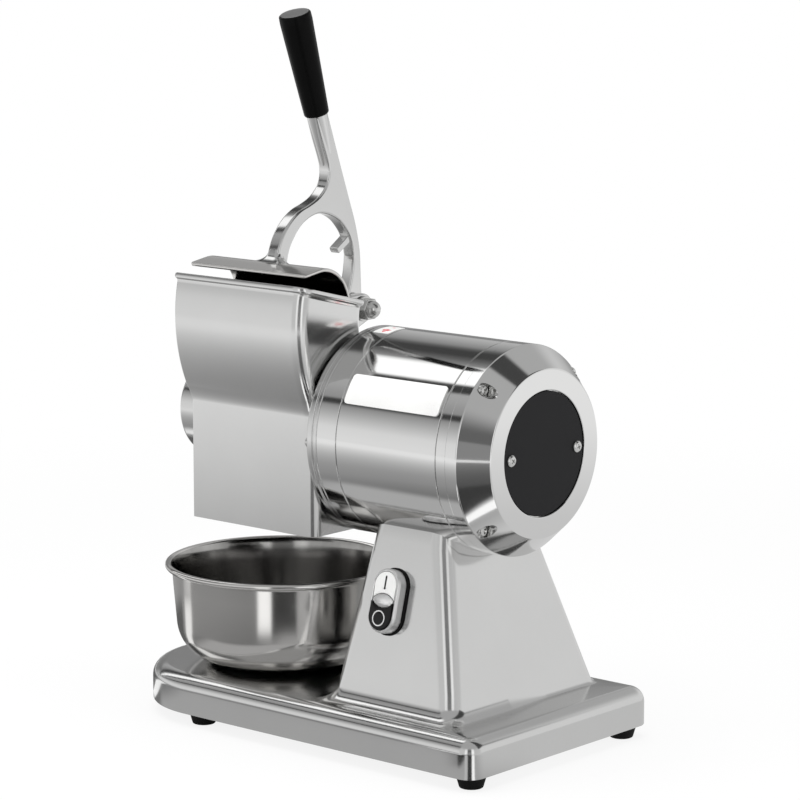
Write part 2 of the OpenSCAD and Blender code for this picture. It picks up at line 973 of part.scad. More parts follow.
module cooling_fan() {
  fan_x = rear_bearing_x + bearing_w + fan_gap;
  color("#303438") {
    turned(axis) {
      band(tail_shaft_r, fan_hub_r, fan_x, fan_x + fan_l);
      band(tail_shaft_r, fan_r, fan_x, fan_x + blade_t);
    }
    for (a = [0:45:315])
      translate([fan_x + eps, axis_y, axis_z])
        rotate([a, 0, 0])
          translate([0, blade_r[0], -blade_t / 2])
            cube([fan_l - eps, blade_r[1] - blade_r[0], blade_t]);
  }
}

module grating_drum() {
  color("#b9bdc0")
    difference() {
      turned(axis) {
        band(drum_r - drum_t, drum_r, drum_x[0], drum_x[1]);
        band(drum_shaft_r, drum_r - drum_t + eps, drum_x[0], drum_x[0] + drum_hub[0]);
        band(drum_shaft_r, drum_r - drum_t + eps, drum_x[1] - drum_hub[1], drum_x[1]);
      }
      translate([drum_x[1] - drum_hub[1] - eps, axis_y - key_w / 2, axis_z])
        cube([drum_hub[1] + 2 * eps, key_w, drum_shaft_r + key_w / 2]);
    }
}

module drum_key() {
  color("gray")
    translate([key_x, axis_y - key_w / 2, axis_z + drum_shaft_r - key_w / 2])
      cube([key_l, key_w, key_w]);
}

module drum_nut() {
  color("#c8ccd0")
    difference() {
      translate([drum_nut_x, axis_y, axis_z])
        rotate([0, 90, 0])
          cylinder(r = drum_nut_r, h = drum_nut_h, $fn = 6);
      rod(drum_nut_x - eps, drum_x[0] + eps, axis, drum_shaft_r);
    }
}

// Hopper body about the hinge, from above the mouth down to the drum
module hopper_block(r0, r1, x0, x1, c, a1) {
  turned_part(hinge, mouth_angle, a1)
    round_band(r0, r1, x0, x1, c);
}

// Everything above a plane that lies a given depth under the mouth
module above_mouth(depth) {
  translate([0, mouth_front[0], mouth_front[1]])
    rotate([-mouth_tilt, 0, 0])
      translate([-base_l / 2, -front_wall_r, -depth])
        cube([base_l, 3 * front_wall_r, front_wall_r]);
}

// Upright box with round corners
module chute_box(inset, z0, z1) {
  r = hopper_round - inset;
  x0 = hopper_x[0] + chute_inset[0] + inset;
  x1 = hopper_x[1] - chute_inset[1] - inset;
  y0 = chute_y[0] + inset;
  y1 = chute_y[1] - inset;
  translate([0, 0, z0])
    linear_extrude(z1 - z0)
      union() {
        translate([x0 + r, y0])
          square([x1 - x0 - 2 * r, y1 - y0]);
        translate([x0, y0 + r])
          square([x1 - x0, y1 - y0 - 2 * r]);
        for (x = [x0 + r, x1 - r], y = [y0 + r, y1 - r])
          translate([x, y])
            circle(r);
      }
}

module hinge_ear(x0) {
  along_x(x0, x0 + ear_t)
    union() {
      translate(hinge)
        circle(ear_r);
      polygon([
        hinge + ear_r * [cos(100), sin(100)], hinge + [-back_wall_r - 2, 7],
        hinge + [-back_wall_r - 1, -30], hinge + [-back_wall_r + 10, -36],
        hinge + ear_r * [cos(-70), sin(-70)]
      ]);
    }
}

module hopper_solid() {
  difference() {
    union() {
      hopper_block(back_wall_r, front_wall_r, hopper_x[0], hopper_x[1], hopper_round, sector_end);
      difference() {
        hopper_block(
          back_wall_r - rim_lip, front_wall_r + rim_lip, hopper_x[0] - rim_lip, hopper_x[1] + rim_lip,
          hopper_round + rim_lip, rim_end
        );
        below_mouth(rim_h);
      }
    }
    above_mouth(0);
  }
  chute_box(0, chute_z, chute_top_z);
  rod(hopper_x[0], hopper_x[1], axis, housing_r);
  rod(hopper_x[1] - eps, flange_x + eps, axis, collar_r);
  rod(flange_x, front_ring_x, axis, tube_r);
  rod(end_cover_x[1], hopper_x[0] + eps, axis, end_cover_r);
  hinge_ear(lever_x + ear_in);
  hinge_ear(lever_x - ear_out);
}

// Everything below a plane that lies a given depth under the mouth
module below_mouth(depth) {
  translate([0, mouth_front[0], mouth_front[1]])
    rotate([-mouth_tilt, 0, 0])
      translate([-base_l / 2, -front_wall_r, -depth - 3 * front_wall_r])
        cube([base_l, 3 * front_wall_r, 3 * front_wall_r]);
}

module hopper_casting() {
  x0 = hopper_x[0] + casting_t;
  x1 = hopper_x[1] - casting_t;
  color("silver")
    difference() {
      hopper_solid();
      hopper_block(
        back_wall_r + casting_t, front_wall_r - casting_t, x0, x1, hopper_round - casting_t, cavity_end
      );
      rod(x0, x1, axis, chamber_r);
      chute_box(casting_t, chute_z - eps, chute_open_z);
      difference() {
        intersection() {
          chute_box(casting_t, chute_open_z - eps, chute_top_z - casting_t);
          translate([-base_l / 2, chute_y[0], chute_z])
            cube([base_l, axis_y - chamber_r - casting_t - chute_y[0], base_l]);
        }
        rod(-base_l / 2, base_l / 2, hinge, front_wall_r);
      }
      rod(end_cover_x[1] - eps, x0 + eps, axis, door_r);
      rod(x1 - eps, front_ring_x + eps, axis, shaft_r + seal_lip);
      rod(seal_x[0], seal_x[1], axis, seal_r);
      rod(x1 - eps, seal_x[0] + eps, axis, seal_r - seal_lip);
      rod(lever_x - ear_out - eps, lever_x + ear_out + eps, hinge, pin_r);
      for (a = flange_screw_angles)
        rod(flange_x - eps, front_ring_x + eps, on_axis(flange_screw_ring, a), flange_screw_r);
      for (a = quarter_turns)
        rod(end_cover_x[1] - eps, end_cover_x[1] + end_screw_l + eps, on_axis(end_screw_ring, a),
          end_screw_r);
    }
}

module flange_screws() {
  color("lightgray")
    for (a = flange_screw_angles) {
      rod(flange_x - pan_h, flange_x, on_axis(flange_screw_ring, a), pan_r);
      rod(flange_x - eps, front_ring_x + flange_screw_l, on_axis(flange_screw_ring, a), flange_screw_r);
    }
}

module end_cover() {
  x0 = end_cover_x[0];
  x1 = end_cover_x[1];
  x2 = hopper_x[0] + casting_t;
  bush_wall_r = bush_r[1] + bush_wall;
  spigot_r = door_r - end_spigot_t;
  color("silver")
    difference() {
      turned(axis)
        polygon(concat(
          [[0, x0]],
          arc([end_cover_r - end_dome, x0 + end_dome], end_dome, -90, 0, 8),
          [[end_cover_r, x1], [door_r, x1], [door_r, x2], [spigot_r, x2], [spigot_r, x0 + end_wall]],
          [[bush_wall_r, x0 + end_wall], [bush_wall_r, bush_x[1]], [bush_r[1], bush_x[1]]],
          [[bush_r[1], bush_x[0]], [0, bush_x[0]]]
        ));
      for (a = quarter_turns) {
        rod(x0 - eps, x1 + eps, on_axis(end_screw_ring, a), end_screw_r);
        rod(x0 - eps, x1 - end_head_depth, on_axis(end_screw_ring, a), end_head[0] + clear);
      }
    }
}

module end_cover_screws() {
  color("lightgray")
    for (a = quarter_turns) {
      at = on_axis(end_screw_ring, a);
      seat_x = end_cover_x[1] - end_head_depth;
      rod(seat_x - end_head[1], seat_x, at, end_head[0]);
      rod(seat_x - eps, end_cover_x[1] + end_screw_l, at, end_screw_r);
    }
}

module end_bush() {
  color("#b8934a")
    turned(axis)
      band(bush_r[0], bush_r[1], bush_x[0], bush_x[1]);
}

module hinge_bolt() {
  head_x = lever_x - ear_out - washer_t;
  color("lightgray") {
    rod(head_x - eps, lever_x + ear_out + washer_t + nut_h - eps, hinge, pin_r);
    translate([head_x - head_h, hinge[0], hinge[1]])
      rotate([0, 90, 0])
        cylinder(r = nut_r, h = head_h, $fn = 6);
  }
}

module hinge_washers() {
  color("gainsboro")
    for (x = [lever_x - ear_out - washer_t, lever_x + ear_out])
      turned(hinge)
        band(pin_r, washer_r, x, x + washer_t);
}

module acorn_nut() {
  x0 = lever_x + ear_out + washer_t;
  color("lightgray")
    difference() {
      union() {
        translate([x0, hinge[0], hinge[1]])
          rotate([0, 90, 0])
            cylinder(r = nut_r, h = nut_h, $fn = 6);
        turned(hinge)
          polygon(concat(
            [[0, x0 + nut_h - eps], [dome_r, x0 + nut_h - eps]],
            arc([0, x0 + nut_h], dome_r, 0, 90, 8)
          ));
      }
      rod(x0 - eps, x0 + nut_h - eps, hinge, pin_r);
    }
}

// Lever outline without its hub
module lever_outline() {
  leg = arch_c + [arch_r + arch_t, 0];
  difference() {
    union() {
      difference() {
        translate(arch_c)
          circle(arch_r + arch_t);
        translate(arch_c - [2 * arch_r, 4 * arch_r])
          square(4 * arch_r);
      }
      polygon([
        arch_c + [-arch_r - arch_t, eps], arch_c - [arch_r + arch_t + toe[0][0], toe[0][1]],
        arch_c - [arch_r + toe[1][0], toe[1][1]], arch_c - [arch_r - toe[2][0], toe[2][1]],
        arch_c + [-arch_r, eps]
      ]);
      polygon([
        leg + [0, eps], leg + [-arch_t, eps], leg + [-arch_t, 0], hinge + [-hub_r, 0], hinge + [hub_r, 0],
        hinge + [hub_r - hub_step[0], hub_step[1]]
      ]);
      polygon(concat(
        [arch_c + fork_at, hinge + neck_at],
        arc(hinge + neck_c, stem_neck_r, -20, 20, 6),
        [grip_foot - stem_half * [cos(grip_lean), sin(grip_lean)]],
        [grip_foot + stem_half * [cos(grip_lean), sin(grip_lean)]],
        [for (p = back_edge) hinge + p],
        [arch_c + [arch_r + 2, 10], arch_c + [0, arch_r + 1]]
      ));
    }
    translate(arch_c)
      circle(arch_r);
    translate(presser_c)
      circle(presser_r);
  }
  // Finger that stops the lever when it is thrown open
  polygon([for (p = finger) hinge + p]);
}

module lever_arm() {
  color("silver")
    difference() {
      union() {
        along_x(lever_x - lever_t / 2, lever_x + lever_t / 2)
          lever_outline();
        rod(lever_x - hub_w / 2, lever_x + hub_w / 2, hinge, hub_r);
        along_x(lever_x - pad_w / 2, lever_x + pad_w / 2)
          intersection() {
            difference() {
              translate(presser_c)
                circle(presser_r + pad_t);
              translate(presser_c)
                circle(presser_r);
            }
            wedge(presser_c, 2 * presser_r, pad_span[0], pad_span[1]);
          }
      }
      rod(lever_x - hub_w, lever_x + hub_w, hinge, lever_bush_r);
      along_grip()
        translate([0, 0, -stud_foot])
          cylinder(r = stud_r, h = stud_foot + eps);
      presser_screw_holes(pad_t - 1.5);
    }
}

// Frame on the grip's axis, local Z towards its free end
module along_grip() {
  translate([lever_x, grip_foot[0], grip_foot[1]])
    rotate([grip_lean, 0, 0])
      children();
}

// Screw positions in the presser, drilled outwards from its underside
module presser_screw_at() {
  for (s = [-0.5, 0.5])
    translate([lever_x + s * presser_screw_gap, presser_c[0], presser_c[1]])
      rotate([presser_screw_at_angle - 90, 0, 0])
        children();
}

module presser_screw_holes(depth) {
  presser_screw_at()
    translate([0, 0, presser_r - presser_t - eps])
      cylinder(r = presser_screw_r, h = presser_t + depth + eps);
}

module lever_bush() {
  color("#b8934a")
    turned(hinge)
      band(pin_r + running, lever_bush_r, lever_x - hub_w / 2, lever_x + hub_w / 2);
}

module grip_stud() {
  color("gray")
    along_grip()
      translate([0, 0, -stud_foot + eps])
        cylinder(r = stud_r, h = stud_foot - eps + stud_l);
}

module lever_grip() {
  color("#141414")
    along_grip()
      difference() {
        rotate_extrude()
          polygon(concat(
            [[0, 0], [grip_r[0] - 1, 0], [grip_r[0], 1]],
            arc([grip_r[1] - grip_nose, grip_l - grip_nose], grip_nose, 0, 90, 8),
            [[0, grip_l]]
          ));
        translate([0, 0, -eps])
          cylinder(r = stud_r, h = stud_l + eps);
      }
}

module presser() {
  presser_x = [hopper_x[0] + casting_t + presser_gap, hopper_x[1] - casting_t - presser_gap];
  lip_at = [cos(presser_lip_at), sin(presser_lip_at)];
  color("silver")
    difference() {
      along_x(presser_x[0], presser_x[1])
        union() {
          intersection() {
            difference() {
              translate(presser_c)
                circle(presser_r);
              translate(presser_c)
                circle(presser_r - presser_t);
            }
            wedge(presser_c, 2 * presser_r, presser_span[0], presser_span[1]);
          }
          polygon([
            presser_c + presser_r * lip_at, lip_end + [0, presser_t / 2],
            lip_end - [0, presser_t / 2], presser_c + (presser_r - presser_t) * lip_at
          ]);
        }
      for (end = [0, 1])
        translate([presser_x[end], lip_end[0] - eps, lip_end[1] - 20])
          mirror([end, 0, 0])
            difference() {
              translate([-eps, 0, 0])
                cube([lip_corner + eps, lip_corner + eps, 40]);
              translate([lip_corner, lip_corner + eps, -eps])
                cylinder(r = lip_corner, h = 50);
            }
      presser_screw_holes(pad_t);
      presser_screw_at()
        translate([0, 0, presser_r - presser_t - eps])
          cylinder(r = presser_head[0] + clear, h = presser_head_sunk + eps);
    }
}

module presser_screws() {
  color("lightgray")
    presser_screw_at() {
      translate([0, 0, presser_r - presser_t + presser_head_sunk - presser_head[1]])
        cylinder(r = presser_head[0], h = presser_head[1]);
      translate([0, 0, presser_r - presser_t])
        cylinder(r = presser_screw_r, h = presser_t + pad_t - 2);
    }
}

module bowl() {
  wall_r = bowl_r - bowl_rim_l;
  rim_z = bowl_h - bowl_roll;
  color("gainsboro")
    translate([bowl_at[0], bowl_at[1], base_top + clear])
      rotate_extrude() {
        difference() {
          polygon(concat(
            [[0, 0]],
            arc([bowl_floor_r, bowl_knee], bowl_knee, -90, -bowl_lean, 10),
            [[wall_r, rim_z], [0, rim_z]]
          ));
          polygon(concat(
            [[-eps, bowl_t]],
            arc([bowl_floor_r, bowl_knee], bowl_knee - bowl_t, -90, -bowl_lean, 10),
            [[wall_r - bowl_t, rim_z + eps], [-eps, rim_z + eps]]
          ));
        }
        translate([bowl_r - bowl_roll, rim_z])
          difference() {
            circle(bowl_roll);
            circle(bowl_roll - 0.75 * bowl_t);
          }
        translate([wall_r - bowl_t, rim_z])
          square([bowl_r - 1.2 * bowl_roll - wall_r, bowl_t]);
      }
}

// Oblong with round ends
module oblong(w, l) {
  translate([-w / 2, -(l - w) / 2])
    square([w, l - w]);
  for (s = [-0.5, 0.5])
    translate([0, s * (l - w)])
      circle(w / 2);
}

module on_switch() {
  on_face(switch_at[0], switch_at[1], -1, switch_turn)
    children();
}

module switch_gasket() {
  color("#101010")
    on_switch()
      difference() {
        linear_extrude(gasket_t)
          oblong(bezel[0] + 2 * gasket_margin, bezel[1] + 2 * gasket_margin);
        translate([0, 0, -eps])
          cylinder(r = neck_r, h = gasket_t + 2 * eps);
      }
}

module switch_bezel() {
  color("#8f9194")
    on_switch()
      translate([0, 0, gasket_t])
        difference() {
          linear_extrude(bezel_h)
            oblong(bezel[0], bezel[1]);
          translate([0, 0, bezel_floor])
            linear_extrude(bezel_h)
              oblong(bezel[0] - 2 * bezel_rim, bezel[1] - 2 * bezel_rim);
          translate([0, 0, -eps])
            cylinder(r = neck_r, h = bezel_floor + 2 * eps);
        }
}

module button_plan(side) {
  gap = bezel_rim + button_gap;
  difference() {
    intersection() {
      oblong(bezel[0] - 2 * gap, bezel[1] - 2 * gap);
      translate([-bezel[0], side > 0 ? button_lens_gap : -bezel[1] - button_lens_gap])
        square([2 * bezel[0], bezel[1]]);
    }
    translate([0, -side * lens_bow_y])
      circle(lens_bow_r + button_lens_gap);
  }
}

module push_button(side, top) {
  on_switch() {
    translate([0, 0, gasket_t + button_floor])
      linear_extrude(top - button_floor)
        button_plan(side);
    translate([0, side * plunger_y, -plunger_l])
      cylinder(r = plunger_r, h = plunger_l + gasket_t + button_floor + eps);
  }
}

module start_button() {
  color("white")
    push_button(1, bezel_h + start_proud);
}

module stop_button() {
  color("#181818")
    push_button(-1, bezel_h + stop_proud);
}

module pilot_lens() {
  color("#c9cdd0")
    on_switch()
      translate([0, 0, gasket_t + bezel_floor])
        linear_extrude(bezel_h)
          intersection() {
            translate([0, lens_bow_y])
              circle(lens_bow_r);
            translate([0, -lens_bow_y])
              circle(lens_bow_r);
          }
}

module switch_block() {
  color("#3a3d40")
    on_switch()
      difference() {
        union() {
          translate([-block_size[0] / 2, -block_size[1] / 2, -casting_t - block_gap - block_size[2]])
            cube(block_size);
          translate([0, 0, -casting_t - block_gap - eps])
            cylinder(r = neck_r, h = casting_t + block_gap + eps + gasket_t + bezel_floor);
        }
        for (s = [-1, 1])
          translate([0, s * plunger_y, -plunger_l - button_travel - plunger_end_gap])
            cylinder(r = plunger_r + clear, h = 2 * (plunger_l + button_travel + plunger_end_gap));
      }
}

base_casting();
bottom_cover();
cover_screws();
foot_front_left();
foot_front_right();
foot_rear_left();
foot_rear_right();
foot_screws();
motor_tube();
front_ring();
rear_shield();
rear_cap();
cap_screws();
rear_disc();
disc_screws();
motor_bolts();
stator_core();
front_winding();
rear_winding();
front_bearing();
rear_bearing();
shaft_seal();
capacitor();
terminal_block();
cable_gland();
gland_locknut();
label_plate();
arrow_sticker();
motor_shaft();
rotor();
cooling_fan();
grating_drum();
drum_key();
drum_nut();
hopper_casting();
flange_screws();
end_cover();
end_cover_screws();
end_bush();
hinge_bolt();
hinge_washers();
acorn_nut();
lever_arm();
lever_bush();
grip_stud();
lever_grip();
presser();
presser_screws();
bowl();
switch_gasket();
switch_bezel();
pilot_lens();
start_button();
stop_button();
switch_block();
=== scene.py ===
"""Looks of an electric grater, made piece by piece around its solid model."""

import math

import bmesh
import bpy
import numpy as np
from bpy.props import FloatProperty, FloatVectorProperty, IntProperty, PointerProperty
from mathutils import Matrix, Vector


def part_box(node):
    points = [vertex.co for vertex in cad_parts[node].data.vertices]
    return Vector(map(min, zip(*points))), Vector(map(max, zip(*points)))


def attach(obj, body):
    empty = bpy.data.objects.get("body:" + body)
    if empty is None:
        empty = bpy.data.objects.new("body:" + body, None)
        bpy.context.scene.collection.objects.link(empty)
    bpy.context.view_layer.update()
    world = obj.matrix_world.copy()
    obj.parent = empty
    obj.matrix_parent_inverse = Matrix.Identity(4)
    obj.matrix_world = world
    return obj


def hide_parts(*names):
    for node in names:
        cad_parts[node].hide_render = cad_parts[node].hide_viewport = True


bl_info = {
    "name": "Electric Grater",
    "version": (1, 0, 0),
    "blender": (4, 5, 0),
    "location": "3D View > Sidebar > Grater",
    "description": "Makes the castings, motor, hopper, lever, bowl and switch of an electric grater",
    "category": "Add Mesh",
}

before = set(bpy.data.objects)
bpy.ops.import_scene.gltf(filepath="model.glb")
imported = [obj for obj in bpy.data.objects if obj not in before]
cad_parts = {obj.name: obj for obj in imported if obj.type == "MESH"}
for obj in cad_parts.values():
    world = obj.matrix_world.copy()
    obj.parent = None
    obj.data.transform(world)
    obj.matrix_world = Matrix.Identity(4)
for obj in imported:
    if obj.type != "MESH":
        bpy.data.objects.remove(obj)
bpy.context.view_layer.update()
MM = 0.001


def solid_box(node):
    """Lowest and highest corner of a solid, in millimetres."""
    low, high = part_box(node)
    return Vector(low) / MM, Vector(high) / MM


# Places that the pieces share, in millimetres, read from the solids
TUBE_LOW, TUBE_HIGH = solid_box("motor_tube")
SHAFT = ((TUBE_LOW.y + TUBE_HIGH.y) / 2, (TUBE_LOW.z + TUBE_HIGH.z) / 2)
TUBE_R = (TUBE_HIGH.z - TUBE_LOW.z) / 2
WASHER_LOW, WASHER_HIGH = solid_box("hinge_washers")
HINGE = ((WASHER_LOW.y + WASHER_HIGH.y) / 2, (WASHER_LOW.z + WASHER_HIGH.z) / 2)
GRIP_LOW, GRIP_HIGH = solid_box("lever_grip")
LEVER_X = (GRIP_LOW.x + GRIP_HIGH.x) / 2
BASE_LOW, BASE_HIGH = solid_box("base_casting")
BOWL_LOW, BOWL_HIGH = solid_box("bowl")
BOWL_AT = ((BOWL_LOW.x + BOWL_HIGH.x) / 2, (BOWL_LOW.y + BOWL_HIGH.y) / 2)
QUARTERS = (45, 135, 225, 315)
# Screw circles of the rear cap and the end cover, and the X where their heads sit
CAP_RING, CAP_SEAT = 88.0, 170.0
END_RING, END_SEAT = 41.5, -188.0
# Where the hopper's collar ends and the end cover starts
COLLAR_END = -180.0
# Switch and cable gland: X and Z on the pedestal's faces
SWITCH_AT = (82.5, 140.0)
GLAND_AT = (110.0, 82.0)
# Arch of the presser: centre and outer radius
PRESSER = (HINGE[0] - 113, HINGE[1] + 16.3)
PRESSER_R = 37.0
# How far the lip's left end stands past its solid, inside the hopper's wall
PRESSER_REACH = 1.8

# Frames: local Z runs along the shaft with angles from +Y towards +Z, or against it
ALONG = Matrix(((0, 0, 1, 0), (1, 0, 0, 0), (0, 1, 0, 0), (0, 0, 0, 1)))
AGAINST = Matrix(((0, 0, -1, 0), (0, 1, 0, 0), (1, 0, 0, 0), (0, 0, 0, 1)))
ON_SHAFT = Matrix.Translation((0, *SHAFT)) @ ALONG
ON_HINGE = Matrix.Translation((0, *HINGE)) @ ALONG

# Pedestal: foot and top, then the lean of its front and back
PED_FOOT = (27.0, 174.0, 104.5)
PED_TOP = (45.5, 127.0, 60.0)
BASE_TOP = 47.0
PED_TOP_Z = 215.0
PED_CORNER = 16.0
PED_LEAN = math.atan((PED_FOOT[2] - PED_TOP[2]) / (PED_TOP_Z - BASE_TOP))


def on_face(x, z, side, turn=0.0):
    """Frame on the pedestal's front (-1) or back (1) face, local Z out of the face."""
    share = (z - BASE_TOP) / (PED_TOP_Z - BASE_TOP)
    y = SHAFT[0] + side * (PED_FOOT[2] + (PED_TOP[2] - PED_FOOT[2]) * share)
    tilt = Matrix.Rotation(-side * (math.pi / 2 - PED_LEAN), 4, "X")
    return Matrix.Translation((x, y, z)) @ tilt @ Matrix.Rotation(math.radians(turn), 4, "Z")


def polar(at, r, degrees):
    """Point on a circle."""
    a = math.radians(degrees)
    return at[0] + r * math.cos(a), at[1] + r * math.sin(a)


def from_hinge(*offsets):
    """Points given as offsets from the hinge; a third value is kept."""
    return [(HINGE[0] + u, HINGE[1] + v, *rest) for u, v, *rest in offsets]


def arc(at, r, start, end, count):
    """Points along a circle, both ends included."""
    return [polar(at, r, start + (end - start) * i / count) for i in range(count + 1)]


def rounded(corners, closed=True, steps=4):
    """Outline through corners given as (u, v) or (u, v, radius), with the round ones softened."""
    out = []
    count = len(corners)
    for i, corner in enumerate(corners):
        here = Vector(corner[:2])
        radius = corner[2] if len(corner) > 2 else 0
        if not radius or (not closed and i in (0, count - 1)):
            out.append(tuple(here))
            continue
        back = Vector(corners[i - 1][:2]) - here
        ahead = Vector(corners[(i + 1) % count][:2]) - here
        room = 0.49 * min(back.length, ahead.length)
        back.normalize()
        ahead.normalize()
        half = math.acos(max(-1, min(1, back.dot(ahead)))) / 2
        cut = min(radius / math.tan(half), room)
        radius = cut * math.tan(half)
        centre = here + (back + ahead).normalized() * (radius / math.sin(half))
        first = here + back * cut - centre
        last = here + ahead * cut - centre
        turn = first.angle_signed(last)
        for k in range(steps + 1):
            a = -turn * k / steps
            out.append((
                centre.x + first.x * math.cos(a) - first.y * math.sin(a),
                centre.y + first.x * math.sin(a) + first.y * math.cos(a),
            ))
    return out


def spread(points, count):
    """The same path with evenly spaced points."""
    path = np.array(points, float)
    run = np.concatenate([[0], np.cumsum(np.linalg.norm(np.diff(path, axis=0), axis=1))])
    at = np.linspace(0, run[-1], count)
    return [tuple(p) for p in np.stack([np.interp(at, run, path[:, k]) for k in (0, 1)], 1)]


def flowing(points, steps=5):
    """Closed smooth curve through points; a point with a third value stays a sharp corner."""
    count = len(points)
    out = []
    for i in range(count):
        a, b, c, d = (points[(i + k) % count] for k in (-1, 0, 1, 2))
        before = Vector(b[:2]) if len(b) > 2 else Vector(a[:2])
        after = Vector(c[:2]) if len(c) > 2 else Vector(d[:2])
        p, q = Vector(b[:2]), Vector(c[:2])
        if len(b) > 2 and len(c) > 2:
            out.append(tuple(p))
            continue
        for k in range(steps):
            t = k / steps
            m0, m1 = (q - before) / 2, (after - p) / 2
            spot = (
                p * (2 * t**3 - 3 * t**2 + 1) + m0 * (t**3 - 2 * t**2 + t)
                + q * (3 * t**2 - 2 * t**3) + m1 * (t**3 - t**2)
            )
            out.append(tuple(spot))
    return out


def inset(outline, distance):
    """Closed outline moved inwards; the outline runs anticlockwise."""
    path = np.array(outline, float)
    edge = np.roll(path, -1, 0) - path
    edge /= np.maximum(np.linalg.norm(edge, axis=1, keepdims=True), 1e-9)
    normal = np.stack([-edge[:, 1], edge[:, 0]], 1)
    mean = normal + np.roll(normal, 1, 0)
    mean /= np.maximum(np.linalg.norm(mean, axis=1, keepdims=True), 1e-9)
    spreading = np.maximum((mean * normal).sum(1, keepdims=True), 0.5)
    return path + mean * distance / spreading


def anticlockwise(outline):
    """The outline in anticlockwise order."""
    area = sum(a[0] * b[1] - b[0] * a[1] for a, b in zip(outline, outline[1:] + outline[:1]))
    return outline if area > 0 else outline[::-1]


def oblong(width, length, steps=16):
    """Outline with round ends, longer in its second direction."""
    r = width / 2
    up = (length - width) / 2
    return arc((0, up), r, 0, 180, steps) + arc((0, -up), r, 180, 360, steps)


class Shape:
    """A mesh under construction, in millimetres."""

    def __init__(self):
        self.points, self.faces, self.marks = [], [], []

    def row(self, points):
        """Adds points and gives their numbers."""
        first = len(self.points)
        self.points.extend(tuple(float(v) for v in p) for p in points)
        return list(range(first, len(self.points)))

    def skin(self, rows, mark=0, wrap=True):
        """Faces between rows that follow each other; a row of one point gives a fan."""
        for a, b in zip(rows, rows[1:]):
            count = max(len(a), len(b))
            for i in range(count if wrap else count - 1):
                j = (i + 1) % count
                loop = (a[i % len(a)], a[j % len(a)], b[j % len(b)], b[i % len(b)])
                loop = list(dict.fromkeys(loop))
                if len(loop) > 2:
                    self.faces.append(loop)
                    self.marks.append(mark)
        return self

    def lid(self, row, mark=0):
        """Closes a row with one face."""
        self.faces.append(list(row))
        self.marks.append(mark)
        return self

    def moved(self, place):
        """The shape moved by a matrix."""
        self.points = [tuple(place @ Vector(p)) for p in self.points]
        return self

    def add(self, other, mark=None):
        """Takes in another shape."""
        first = len(self.points)
        self.points.extend(other.points)
        self.faces.extend([first + i for i in face] for face in other.faces)
        self.marks.extend(other.marks if mark is None else [mark] * len(other.faces))
        return self

    def mesh(self, name):
        """Blender mesh of the shape, in metres, with its faces turned outwards."""
        mesh = bpy.data.meshes.new(name)
        mesh.from_pydata([Vector(p) * MM for p in self.points], [], self.faces)
        mesh.polygons.foreach_set("material_index", self.marks)
        work = bmesh.new()
        work.from_mesh(mesh)
        bmesh.ops.remove_doubles(work, verts=work.verts, dist=1e-7)
        bmesh.ops.dissolve_degenerate(work, edges=work.edges, dist=1e-8)
        bmesh.ops.recalc_face_normals(work, faces=work.faces)
        work.to_mesh(mesh)
        work.free()
        return mesh


def turned(profile, steps=160, place=None, loop=True, mark=0):
    """Shape turned on a lathe from (radius, height) points about local Z."""
    shape = Shape()
    rows = []
    for r, h in profile:
        if r < 1e-6:
            rows.append(shape.row([(0, 0, h)]))
        else:
            turns = [2 * math.pi * i / steps for i in range(steps)]
            rows.append(shape.row([(r * math.cos(a), r * math.sin(a), h) for a in turns]))
    shape.skin(rows + rows[:1] if loop else rows, mark)
    return shape.moved(place) if place else shape


def slab(outline, low, high, edge, place=None, steps=4, crown=0.0):
    """Thick plate from an outline in local X and Y, with its upper and lower edges rounded."""
    outline = anticlockwise([tuple(p) for p in outline])
    shape = Shape()
    levels = []
    for k in range(steps + 1):
        a = math.pi / 2 * k / steps
        levels.append((edge * (1 - math.sin(a)), low + edge * (1 - math.cos(a))))
    levels += [(d, low + high - h) for d, h in reversed(levels)]
    rows = [shape.row([(u, v, h) for u, v in inset(outline, d)]) for d, h in levels]
    shape.skin(rows).lid(rows[0])
    if crown:
        middle = np.mean(outline, 0)
        last = np.array(inset(outline, edge))
        rings = []
        for share in (0.75, 0.5, 0.25):
            ring = middle + (last - middle) * share
            lift = high + crown * (1 - share**2)
            rings.append(shape.row([(u, v, lift) for u, v in ring]))
        shape.skin([rows[-1]] + rings).lid(rings[-1])
    else:
        shape.lid(rows[-1])
    return shape.moved(place) if place else shape


def cross_slab(outline, x0, x1, edge, steps=4):
    """Thick plate from a Y and Z outline, running along the shaft."""
    return slab(outline, x0, x1, edge, ALONG, steps)


def wrapped(rows, r0, r1, place):
    """Thin skin on a cylinder; rows are (angle, first x, last x)."""
    shape = Shape()
    sheets = []
    for r in (r1, r0):
        sheet = []
        for angle, x0, x1 in rows:
            u, v = polar((0, 0), r, angle)
            sheet.append(shape.row([(u, v, x0 + (x1 - x0) * k / 8) for k in range(9)]))
        sheets.append(sheet)
        shape.skin(sheet, wrap=False)
    rims = []
    for sheet in sheets:
        rims.append(
            sheet[0] + [row[-1] for row in sheet[1:-1]] + sheet[-1][::-1]
            + [row[0] for row in sheet[-2:0:-1]]
        )
    shape.skin(rims)
    return shape.moved(place)


def hexagon(across, low, high, edge):
    """Hexagonal nut blank with softened edges."""
    corners = [(*polar((0, 0), across, 60 * i), 1.2) for i in range(6)]
    return slab(rounded(corners), low, high, edge)


